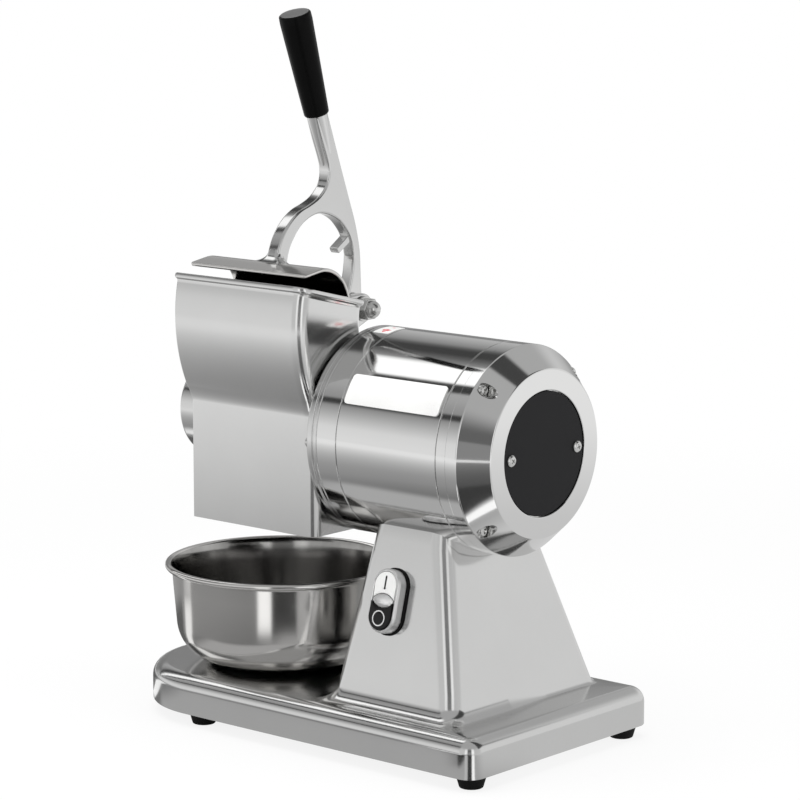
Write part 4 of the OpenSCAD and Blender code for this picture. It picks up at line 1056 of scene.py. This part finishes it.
class GRATER_OT_hinge(bpy.types.Operator):
    """Hinge bolt, washers and acorn nut"""

    bl_idname = "grater.hinge"
    bl_label = "Hinge"

    def execute(self, context):
        bolt_low, bolt_high = solid_box("hinge_bolt")
        nut_low, nut_high = solid_box("acorn_nut")
        across = (nut_high.z - nut_low.z) / 2
        seat = nut_low.x
        bolt = hexagon(across, bolt_low.x, WASHER_LOW.x, 0.9)
        shank_r, start = 5.98, WASHER_LOW.x - 0.5
        bolt.add(turned(rounded([
            (0, start), (shank_r, start), (shank_r, bolt_high.x, 0.6), (0, bolt_high.x)
        ], closed=False), 48, loop=False))
        bore, r, thick = 6.05, (WASHER_HIGH.z - WASHER_LOW.z) / 2, 2.5
        washers = Shape()
        for x in (WASHER_LOW.x, WASHER_HIGH.x - thick):
            washers.add(turned(rounded([(bore, x), (r, x, 0.6), (r, x + thick, 0.6), (bore, x + thick)]), 64))
        nut = hexagon(across, seat, seat + 8, 0.9)
        dome = [(6.1, seat + 1), (8.2, seat + 7.4), *arc((0, seat + 8), 8.5, 0, 90, 10)[:-1]]
        nut.add(turned(dome + [(0, nut_high.x), (0, seat + 6)], 48))
        for name, shape, node in (
            ("hinge_bolt_hex", bolt, "hinge_bolt"), ("hinge_washer_pair", washers, "hinge_washers"),
            ("acorn_nut_dome", nut, "acorn_nut"),
        ):
            piece(name, shape.moved(ON_HINGE), [finish("screw_plate")], "stand", [node])
        return {"FINISHED"}


class GRATER_OT_lever(bpy.types.Operator):
    """Cast lever arm and its grip"""

    bl_idname = "grater.lever"
    bl_label = "Lever and grip"

    def execute(self, context):
        (arch, foot), lean = from_hinge((-48, 45), (-43.5, 184)), math.radians(17.5)
        across = (8.4 * math.cos(lean), 8.4 * math.sin(lean))
        # Outline: up the back to the grip's foot, down the neck, round the arch, and back to the hinge
        back = from_hinge(
            (11.4, 16), (10.6, 34), (9.6, 52), (6.4, 68), (1.8, 84), (-4.5, 101), (-11.5, 120), (-18.5, 139))
        neck = from_hinge(
            (-44.6, 162), (-37.4, 144), (-34.4, 134), (-34.4, 126), (-38, 117), (-48, 108), (-60, 102.5))
        outer = arc(arch, 58.5, 113, 169, 7)
        toe = [(*polar(arch, 58.5, 172), 1), (*polar(arch, 43.5, 174), 1)]
        inner = [polar(arch, 47.5 - 4 * min(1, max(0, (a - 90) / 50)), a) for a in range(170, 40, -10)]
        leg = arc(arch, 47.5, 36, 0, 4) + from_hinge((-2.4, 32), (-6.4, 18))
        hub = [polar(HINGE, 12.5, a) for a in range(165, 375, 21)]
        top = [(foot[0] + s * across[0], foot[1] + s * across[1], 1) for s in (1, -1)]
        outline = back + top + neck + outer + toe + inner + leg + hub
        x0, x1 = LEVER_X - 7, LEVER_X + 7
        shape = cross_slab(flowing(outline, 5), x0, x1, size("lever_edge"), 5)
        finger = from_hinge((-22, 57.5, 1.5), (-19, 52.5, 1.5), (2, 65), (-3, 70))
        shape.add(cross_slab(rounded(finger), LEVER_X - 5, LEVER_X + 5, 0.8))
        bore = rounded([(8.52, -8), (12.5, -8, 1), (12.5, 8, 1), (8.52, 8)])
        shape.add(turned(bore, 64, Matrix.Translation((LEVER_X, *HINGE)) @ ALONG))
        stem = [(0, -62), (5.2, -62), (6.6, -44), (8.2, -22), (9.3, -6), (9.6, -0.2), (0, -0.2)]
        place = Matrix.Translation((LEVER_X, *foot)) @ Matrix.Rotation(lean, 4, "X")
        shape.add(turned(stem, 48, place, loop=False))
        # Flared foot on the presser: height over it, half width, half depth, shift
        flare = Shape()
        rows = []
        for tall, wide, deep, shift in (
            (12, 6.4, 5.0, -36.9), (9, 7.0, 5.5, -37.6), (6.5, 7.8, 6.1, -38.2), (4.5, 9.2, 7.0, -38.7),
            (2.8, 11.4, 8.3, -39.1), (1.5, 14.0, 9.7, -39.4), (0.6, 16.6, 11.0, -39.6),
            (0.1, 18.4, 12.0, -39.7), (-1.0, 18.6, 12.1, -39.7),
        ):
            r = 0.8 * deep
            ring = rounded([(wide, deep, r), (-wide, deep, r), (-wide, -deep, r), (wide, -deep, r)], steps=8)
            arched = [math.sqrt(PRESSER_R**2 - (shift + v - PRESSER[0]) ** 2) for _, v in ring]
            rows.append(flare.row([
                (LEVER_X + u, shift + v, PRESSER[1] + up + tall) for (u, v), up in zip(ring, arched)
            ]))
        shape.add(flare.skin(rows).lid(rows[0]).lid(rows[-1]))
        piece("lever_casting", shape, [finish("cast_satin")], "lever", ["lever_arm"])

        # Grip: bore for the stud, tapered side, and an end that is rubbed lighter
        profile = rounded([
            (5.1, 0), (10.8, 0, 0.8), (11.7, 1.4, 1.2), (12.3, 16), (15.2, 91, 6), (14.9, 97.6, 2.5),
            (13.4, 98.6),
        ], closed=False, steps=6)
        bore = [(0, 70.2), (5.1, 70.2), (5.1, 0)]
        grip = turned(bore + profile[1:], 96, place, loop=False)
        end = [profile[-1], (12.6, 98.3), (11.6, 98.9), (7, 99.3), (0, 99.4)]
        grip.add(turned(end, 96, place, loop=False), 1)
        black = [finish("grip_black"), finish("grip_end")]
        piece("lever_grip_moulded", grip, black, "lever", ["lever_grip"])
        return {"FINISHED"}


class GRATER_OT_presser(bpy.types.Operator):
    """Arched steel presser with its lip"""

    bl_idname = "grater.presser"
    bl_label = "Presser"

    def execute(self, context):
        low, high = solid_box("presser")
        low.x -= PRESSER_REACH
        centre, r, thick = PRESSER, PRESSER_R, 3.5
        edge, corner = size("presser_edge"), size("lip_corner")
        # Stations along the sheet: place, way out of it, and distance from the lip's tip
        tip = Vector((low.y, HINGE[1] + 49.6))
        start = Vector(polar(centre, r, 97))
        run = (start - tip).length
        way = (start - tip) / run
        up = Vector((-way.y, way.x))
        stations = []
        for d in (0.0, 0.2, 0.5, 0.9, 1.3, 2.2, 3.5, 5.0, 7.0, 9.0, 13.0, run - 3):
            stations.append((tip + way * d, up, d))
        for a in range(94, 5, -4):
            radial = Vector(polar((0, 0), 1, a))
            stations.append((Vector(centre) + radial * r, radial, 99))
        shape = Shape()
        rows = []
        for spot, out, d in stations:
            pull = corner - math.sqrt(max(corner**2 - max(corner - d, 0) ** 2, 0))
            fade = edge - math.sqrt(max(edge**2 - max(edge - d, 0) ** 2, 0))
            outline = rounded([
                (low.x + pull, -thick + fade, edge), (high.x - pull, -thick + fade, edge),
                (high.x - pull, -fade, edge), (low.x + pull, -fade, edge),
            ], steps=4)
            rows.append(shape.row([(x, spot.x + out.x * h, spot.y + out.y * h) for x, h in outline]))
        shape.skin(rows).lid(rows[0]).lid(rows[-1])
        piece("presser_arch", shape, [finish("presser_steel")], "lever", ["presser"])
        return {"FINISHED"}


class GRATER_OT_drum(bpy.types.Operator):
    """Grating drum with its punched teeth"""

    bl_idname = "grater.drum"
    bl_label = "Grating drum"

    def execute(self, context):
        low, high = solid_box("grating_drum")
        r = (high.y - low.y) / 2
        profile = rounded([
            (12.05, low.x), (r, low.x, 0.8), (r, high.x, 0.8), (12.05, high.x), (12.05, high.x - 12),
            (r - 4, high.x - 12), (r - 4, low.x + 12), (12.05, low.x + 12),
        ])
        shape = turned(profile, 128)
        sizes = context.scene.grater_sizes
        rows, count, tall = sizes.tooth_rows, sizes.teeth, size("tooth_height")
        tooth = Shape()
        rings = []
        for reach, shift, wide, long in ((r - 0.4, 0, 1.9, 2.3), (r + tall, 1.0, 0.5, 1.2)):
            rings.append(tooth.row([
                (reach, shift + wide * math.sin(b), long * math.cos(b)) for b in np.arange(6) * math.pi / 3
            ]))
        tooth.skin(rings).lid(rings[0]).lid(rings[1])
        pitch = (high.x - low.x - 8) / rows
        places = []
        for i in range(rows):
            lift = Matrix.Translation((0, 0, low.x + 4 + pitch * (i + 0.5)))
            for j in range(count):
                places.append(Matrix.Rotation(2 * math.pi * (j + 0.5 * (i % 2)) / count, 4, "Z") @ lift)
        shape.add(copies(tooth, places)).moved(ON_SHAFT)
        steel = [finish("drum_steel")]
        piece("grating_drum_toothed", shape, steel, "rotor", ["grating_drum"])
        return {"FINISHED"}


class GRATER_OT_bowl(bpy.types.Operator):
    """Spun steel bowl with a rolled rim"""

    bl_idname = "grater.bowl"
    bl_label = "Bowl"

    def execute(self, context):
        sheet, bead = size("bowl_sheet"), size("bowl_bead")
        rim = (BOWL_HIGH.x - BOWL_LOW.x) / 2
        high = BOWL_HIGH.z - BOWL_LOW.z
        knee, floor_r, lean = 40.0, 60.0, 5
        wall = rim - 2 * bead
        hub = (rim - bead, high - bead)
        outer = [(0, 0.6), (40, 0.6), (46, 0)] + arc((floor_r, knee), knee, -90, -lean, 20)
        outer += [(wall - 1.6, high - 22), (wall - 0.6, high - 8.5)]
        outer += arc(hub, bead, 215, 345, 8) + arc(hub, bead, 0, 115, 8)
        inner = arc(hub, bead - 0.2, 150, 180, 2)
        inner += [(wall - sheet - 0.6, high - 8.5), (wall - 1.6 - sheet, high - 22)]
        inner += arc((floor_r, knee), knee - sheet, -lean, -90, 20)
        inner += [(46, sheet), (40, sheet + 0.6), (0, sheet + 0.6)]
        place = Matrix.Translation((*BOWL_AT, BOWL_LOW.z))
        shape = turned(outer + inner[:1], 192, place, loop=False)
        # The inside takes the darker steel with painted shade and painted reflection streaks
        shape.add(turned(inner, 192, place, loop=False), 1)
        steel = [finish("bowl_spun"), finish("bowl_inside")]
        piece("bowl_spun", shape, steel, "bowl", ["bowl"], sharp=40)
        return {"FINISHED"}


class GRATER_OT_switch(bpy.types.Operator):
    """Twin push-button switch with its gasket and pilot lens"""

    bl_idname = "grater.switch"
    bl_label = "Switch"

    def execute(self, context):
        place = on_face(*SWITCH_AT, -1)
        wide, long, rim, base, margin = 31.0, 58.0, 2.5, 2.0, 1.5
        pad = oblong(wide + 2 * margin, long + 2 * margin, 24)
        gasket = slab(pad, 0, base, 0.7, place)
        piece("switch_gasket_pad", gasket, [finish("rubber")], "stand", ["switch_gasket"])
        top = base + 11
        shape = Shape()
        rows = []
        for d, z in (
            (0.5, base), (0, base + 0.5), (0, top - 3.4), (0.2, top - 2.3), (0.7, top - 1.1), (1.2, top - 0.4),
            (1.7, top), (2.1, top - 0.1), (rim, top - 0.6), (rim, base + 1.2),
        ):
            rows.append(shape.row([(u, v, z) for u, v in oblong(wide - 2 * d, long - 2 * d, 24)]))
        shape.skin(rows).lid(rows[0]).lid(rows[-1])
        shape.moved(place)
        piece("switch_bezel_frame", shape, [finish("bezel_grey")], "stand", ["switch_bezel"])
        r, up = wide / 2 - rim - 0.4, (long - wide) / 2
        # The lens lies between two bows, and the buttons follow them
        half = 6.2
        bow = ((wide / 2 - rim - 0.5) ** 2 + half**2) / (2 * half)
        low = half - bow
        for node, side, proud, main, sign, slot in (
            ("start_button", 1, 0.2, "white_plastic", "button_black", "white_plastic"),
            ("stop_button", -1, 2.0, "button_black", "bezel_grey", "black_plastic"),
        ):
            end = math.degrees(math.acos((r - 0.6) / (bow + 0.5)))
            outline = arc((0, low), bow + 0.5, 180 - end, end, 24) + arc((0, up), r, -12, 192, 30)
            outline = anticlockwise([(u, v * side) for u, v in outline])
            cap = slab(outline, base + 4.2, top + proud - 0.35, 0.8, crown=0.35)
            stem = turned([(0, -10), (1.35, -10), (1.35, base + 4.4), (0, base + 4.4)], 24, loop=False)
            cap.add(stem.moved(Matrix.Translation((0, 8.6 * side, 0))))
            # The usual bar for start and ring for stop, sunk into the cap
            low_z, high_z = top + proud - 0.6, top + proud + 0.08
            if side > 0:
                bar = rounded([(-0.9, -6, 0.8), (0.9, -6, 0.8), (0.9, 6.4, 0.8), (-0.9, 6.4, 0.8)])
                mark = slab(bar, low_z, high_z, 0.05)
            else:
                mark = turned(rounded([(6.0, low_z), (6.0, high_z), (7.1, high_z), (7.1, low_z)]), 64)
            cap.add(mark.moved(Matrix.Translation((0, (up + 2.5) * side, 0))), 1)
            piece(node + "_cap", cap.moved(place), [finish(main), finish(sign)], node, [node])
        end = math.degrees(math.asin(-low / bow)) + 4
        oval = arc((0, low), bow, end, 180 - end, 24) + arc((0, -low), bow, 180 + end, 360 - end, 24)
        lens = slab(oval, base + 0.9, top + 0.2, 0.9, crown=0.6)
        piece("pilot_lens_oval", lens.moved(place), [finish("lens")], "stand", ["pilot_lens"])
        return {"FINISHED"}


class GRATER_OT_gland(bpy.types.Operator):
    """Cable gland on the pedestal's back"""

    bl_idname = "grater.gland"
    bl_label = "Cable gland"

    def execute(self, context):
        shape = Shape()
        flats = [(*polar((0, 0), 13.0, 60 * i), 1.0) for i in range(6)]
        outer = rounded(flats)
        rows = []
        hole = arc((0, 0), 4.0, 0, 360, len(outer))[:-1]
        shift = max(range(len(outer)), key=lambda i: outer[i][0])
        outer = outer[shift:] + outer[:shift]
        soft = inset(outer, 0.6)
        for ring, z in ((hole, 0.0), (soft, 0.0), (outer, 0.6), (outer, 4.4), (soft, 5.0), (hole, 5.0)):
            rows.append(shape.row([(u, v, z) for u, v in ring]))
        shape.skin(rows + rows[:1])
        dome = rounded([
            (4, 4.5), (11, 4.5), (11, 8, 0.4), (11.5, 8, 0.6), (11.5, 14, 1.5), (8, 20.5, 3), (8, 24, 1),
            (4, 24, 0.8),
        ])
        shape.add(turned(dome, 64)).moved(on_face(*GLAND_AT, 1))
        dark = [finish("dark_plastic")]
        piece("cable_gland_moulded", shape, dark, "stand", ["cable_gland"])
        return {"FINISHED"}


class GRATER_OT_inner(bpy.types.Operator):
    """Finishes of the solids that keep their own shape"""

    bl_idname = "grater.inner"
    bl_label = "Inner pieces"

    def execute(self, context):
        kept = {
            "screw_plate": ("bottom_cover", "cover_screws", "foot_screws", "motor_bolts", "presser_screws",
                            "drum_nut", "grip_stud", "capacitor"),
            "ground_steel": ("stator_core", "front_bearing", "rear_bearing", "motor_shaft", "rotor", "drum_key"),
            "copper": ("front_winding", "rear_winding"),
            "bronze": ("end_bush", "lever_bush"),
            "dark_plastic": ("terminal_block", "gland_locknut", "switch_block", "cooling_fan"),
            "rubber": ("shaft_seal",),
        }
        for name, nodes in kept.items():
            for node in nodes:
                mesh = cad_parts[node].data
                mesh.materials.clear()
                mesh.materials.append(finish(name))
        return {"FINISHED"}


class GRATER_OT_stage(bpy.types.Operator):
    """Floor, cloth dome, lamps, world and camera"""

    bl_idname = "grater.stage"
    bl_label = "Stage"

    # Cloth on the bowl's side: angle from the back over the top to the front, and level
    strips = (
        (-30, 0.45), (2, 0.60), (12, 0.52), (23, 0.48), (34, 0.40), (44, 0.29), (50, 0.13), (55, 0.06),
        (64, 0.06), (71, 0.14), (79, 0.28), (82, 1.0), (85, 1.3), (104, 1.3), (107, 0.05), (115, 0.05),
        (118, 0.45), (126, 0.42), (134, 0.36), (140, 0.33), (142, 0.05), (146, 0.05), (149, 0.32), (158, 0.50),
        (172, 0.80), (184, 0.85), (210, 0.75),
    )
    # Cloth on the motor's side: turn from the camera's direction to the back, and level
    turns = (
        (-80, 0.68), (-30, 0.68), (-27, 1.1), (-14, 1.1), (-11, 0.14), (11, 0.14), (14, 1.2), (26, 1.2),
        (30, 0.62), (66, 0.66), (80, 0.80), (138, 0.80), (160, 0.45), (180, 0.45),
    )
    # Paper before the bowl as mirrored rays see it, with painted shade near the machine: reach over two metres,
    # and level
    floor_painted_shade_levels = ((0, 0.22), (0.14, 0.20), (0.22, 0.31), (0.3, 0.36), (0.6, 0.66), (0.9, 0.90), (1, 0.92))
    # Turn of the camera's side about Z
    front = -49.15

    def dome(self):
        """Cloth dome that only mirrored rays see."""
        centre, reach = (30.0, 0.0, 280.0), 3000.0
        shape = Shape()
        rows = []
        for rise in range(-12, 90, 6):
            r, z = polar((0, 0), reach, rise)
            rows.append(shape.row([(*polar(centre, r, a), centre[2] + z) for a in range(0, 360, 6)]))
        rows.append(shape.row([(centre[0], centre[1], centre[2] + reach)]))
        mesh = shape.skin(rows).mesh("cloth_dome")
        obj = bpy.data.objects.new("cloth_dome", mesh)
        f = Finish(bpy.data.materials.new("dome_cloth"))
        away = f.add("ShaderNodeVectorMath", {"operation": "SUBTRACT"}, {
            0: f.coordinates(), 1: tuple(v * MM for v in centre)}).outputs[0]
        away = f.add("ShaderNodeVectorMath", {"operation": "NORMALIZE"}, {0: away}).outputs[0]
        x, y, z = (Field(f, s) for s in f.add("ShaderNodeSeparateXYZ", None, {0: away}).outputs)

        def pattern(rise, run, stops, shift):
            """Levels by the angle of a direction."""
            first, last = stops[0][0], stops[-1][0]
            stops = [((at - first) / (last - first), level) for at, level in stops]
            share = (f.turn(rise, run) + (shift - first)) / (last - first)
            return f.field("ShaderNodeValToRGB", {"stops": stops}, {0: share})

        bowl_side = pattern(-1.0 * y, z, self.strips, 90)
        # The low part behind is darker
        bowl_side = bowl_side * (1 - 0.55 * f.rise(0.23 - z, 0, 0.05) * f.rise(y, 0.1, 0.3))
        motor_side = pattern(y, x, self.turns, -self.front).over(0.27 * f.rise(0.2 - z, 0, 0.05))
        # Higher up its strips fade into one grey, with a dark cloth over the motor's end
        high = f.rise(z, 0.30, 0.62)
        motor_side = motor_side * (1 - high) + 0.46 * high
        around = f.turn(y, x)
        dark = 0.86 * f.rise(z, 0.30, 0.42) * f.rise(around, 8, 16) * f.rise(58 - around, 0, 8)
        motor_side = motor_side * (1 - dark)
        share = f.rise(x, -0.52, -0.28)
        level = bowl_side * (1 - share) + motor_side * share
        glow = f.add("ShaderNodeEmission", None, {"Color": level, "Strength": 1.0})
        f.add("ShaderNodeOutputMaterial", None, {"Surface": glow.outputs[0]})
        f.owner.cycles.emission_sampling = "NONE"
        mesh.materials.append(f.owner)
        bpy.context.scene.collection.objects.link(obj)
        obj.visible_camera = obj.visible_diffuse = obj.visible_shadow = obj.visible_transmission = False

    def floor(self):
        """White paper: it keeps the shadow, and mirrored rays see levels on it with painted shade and painted
        highlights.
        """
        tone = bpy.context.scene.grater_colours.floor
        shape = Shape()
        ticks = np.linspace(-4000, 4000, 5)
        rows = [shape.row([(x, y, 0) for x in ticks]) for y in ticks]
        mesh = shape.skin(rows, wrap=False).mesh("studio_floor")
        obj = bpy.data.objects.new("studio_floor", mesh)
        f = Finish(bpy.data.materials.new("floor_paper"))
        path = f.add("ShaderNodeLightPath")
        seen = Field(f, path.outputs["Is Camera Ray"]).over(Field(f, path.outputs["Is Transmission Ray"]))
        mirrored = Field(f, path.outputs["Is Glossy Ray"])
        x, y, _ = (Field(f, s) for s in f.add("ShaderNodeSeparateXYZ", None, {0: f.coordinates()}).outputs)
        reach = (x * x + y * y) ** 0.5
        side, ahead = (math.radians(self.front + turn) for turn in (98, 0))
        back_right = (x * math.cos(side) + y * math.sin(side)) / reach
        to_front = (x * math.cos(ahead) + y * math.sin(ahead)) / reach
        # Painted shade for mirrored rays: darker near the machine, lifted towards the back right
        level = f.field("ShaderNodeValToRGB", {"stops": self.floor_painted_shade_levels}, {0: reach / 2})
        level = level + (0.66 - level).over(0.0) * f.rise(back_right, -0.1, 0.7)
        # Painted shade for mirrored rays: a grey patch on the floor before the base's front, and a dark band
        # towards the camera
        front_painted_shade = f.rise(x, -0.30, -0.20) * f.rise(-0.11 - y, 0, 0.02) * f.rise(y + 0.28, 0, 0.06)
        level = level + (0.46 - level).over(0.0) * front_painted_shade
        camera_painted_shade = f.rise(to_front, 0.955, 0.985) * f.rise(reach, 0.50, 0.60) * f.rise(2.3 - reach, 0, 0.2)
        level = level * (1 - 0.75 * camera_painted_shade)

        def painted_floor_strips(at, bands, way=1.0):
            """Painted highlight and shade strips on the floor, seen only by mirrored rays, that run out from a
            spot: angle, half width, first and last reach, level.
            """
            nonlocal level
            u, v = (x - at[0] * MM) * way, (y - at[1] * MM) * way
            away, turn = (u * u + v * v) ** 0.5, f.turn(v, u)
            for angle, half, first, last, goal in bands:
                share = f.rise(half - (turn - angle).unsigned(), 0, 3)
                share = share * f.rise(away, first, first + 0.03) * f.rise(last - away, 0, 0.1)
                level = level * (1 - share) + goal * share

        painted_floor_strips(BOWL_AT, (
            (-64, 8, 0.30, 0.62, 1.3), (-46, 13, 0.30, 0.62, 0.05)))
        painted_floor_strips((BASE_LOW.x + 95, BASE_LOW.y + 95), (
            (21, 9, 0.1, 0.45, 1.1), (-12, 20, 0.1, 0.45, 0.13), (-48, 12, 0.1, 0.45, 0.5)), -1.0)
        painted_floor_strips((BASE_HIGH.x - 16, BASE_LOW.y + 16), (
            (self.front - 21, 9, 0, 0.45, 0.6), (self.front, 12, 0, 0.45, 0.05),
            (self.front + 21, 9, 0, 0.45, 1.2)))
        level = level * (1 - seen) + seen
        paper = f.add("ShaderNodeBsdfDiffuse", None, {"Color": (*tone, 1)})
        glow = f.add("ShaderNodeEmission", None, {"Color": level, "Strength": 1.0})
        cover = seen * (0.86 + 0.14 * f.rise(reach, 0.6, 1.6)) + mirrored
        mixed = f.add("ShaderNodeMixShader", None, {0: cover, 1: paper.outputs[0], 2: glow.outputs[0]})
        f.add("ShaderNodeOutputMaterial", None, {"Surface": mixed.outputs[0]})
        f.owner.cycles.emission_sampling = "NONE"
        mesh.materials.append(f.owner)
        bpy.context.scene.collection.objects.link(obj)

    def execute(self, context):
        scene = context.scene
        scene.view_settings.view_transform = "Standard"
        world = bpy.data.worlds.new("studio")
        scene.world = world
        f = Finish(world)
        path = f.add("ShaderNodeLightPath")
        seen = Field(f, path.outputs["Is Camera Ray"]).over(Field(f, path.outputs["Is Glossy Ray"]))
        seen = seen.over(Field(f, path.outputs["Is Transmission Ray"]))
        sky = f.between((0.42, 0.42, 0.42), (1, 1, 1), seen)
        back = f.add("ShaderNodeBackground", None, {"Color": sky, "Strength": 1.0})
        f.add("ShaderNodeOutputWorld", None, {"Surface": back.outputs[0]})
        self.floor()
        self.dome()
        for name, at, power, wide in (
            ("lamp_overhead", (-0.1, -0.2, 2.1), 42, 2.2),
            ("lamp_front", (-1.5, -2.2, 1.2), 26, 1.6),
            ("lamp_side", (2.4, 0.6, 1.3), 18, 1.4),
        ):
            light = bpy.data.lights.new(name, "AREA")
            light.energy, light.size = power, wide
            lamp = bpy.data.objects.new(name, light)
            lamp.location = at
            lamp.rotation_euler = (Vector((0, 0, 0.25)) - Vector(at)).to_track_quat("-Z", "Y").to_euler()
            lamp.visible_glossy = False
            scene.collection.objects.link(lamp)
        lens = bpy.data.cameras.new("studio_camera")
        lens.sensor_width, lens.lens = 36.0, 148.57
        lens.clip_end = 50
        camera = bpy.data.objects.new("studio_camera", lens)
        eye, target = Vector((1961.9, -2236.4, 811.9)) * MM, Vector((26.2, 2.1, 306.0)) * MM
        camera.location = eye
        camera.rotation_euler = (target - eye).to_track_quat("-Z", "Y").to_euler()
        scene.collection.objects.link(camera)
        scene.camera = camera
        return {"FINISHED"}


STEPS = (
    GRATER_OT_base, GRATER_OT_feet, GRATER_OT_motor, GRATER_OT_rear_cap, GRATER_OT_screws, GRATER_OT_label,
    GRATER_OT_hopper, GRATER_OT_end_cover, GRATER_OT_hinge, GRATER_OT_lever, GRATER_OT_presser, GRATER_OT_drum,
    GRATER_OT_bowl, GRATER_OT_switch, GRATER_OT_gland, GRATER_OT_inner, GRATER_OT_stage,
)


class GRATER_PT_panel(bpy.types.Panel):
    """Pieces, sizes and colours of the grater"""

    bl_idname = "GRATER_PT_panel"
    bl_label = "Electric grater"
    bl_space_type = "VIEW_3D"
    bl_region_type = "UI"
    bl_category = "Grater"

    def draw(self, context):
        for step in STEPS:
            self.layout.operator(step.bl_idname)
        for group in (context.scene.grater_sizes, context.scene.grater_colours):
            box = self.layout.box()
            for name in group.__annotations__:
                box.prop(group, name)


CLASSES = (GraterSizes, GraterColours, *STEPS, GRATER_PT_panel)


def register():
    """Registers the classes and hangs the two groups on the scene."""
    for cls in CLASSES:
        bpy.utils.register_class(cls)
    bpy.types.Scene.grater_sizes = PointerProperty(type=GraterSizes)
    bpy.types.Scene.grater_colours = PointerProperty(type=GraterColours)


def unregister():
    """Takes the groups and classes away again."""
    del bpy.types.Scene.grater_sizes
    del bpy.types.Scene.grater_colours
    for cls in reversed(CLASSES):
        bpy.utils.unregister_class(cls)


def main():
    """Makes all pieces in order."""
    register()
    for step in STEPS:
        group, name = step.bl_idname.split(".")
        getattr(getattr(bpy.ops, group), name)()
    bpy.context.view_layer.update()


if __name__ == "__main__":
    main()
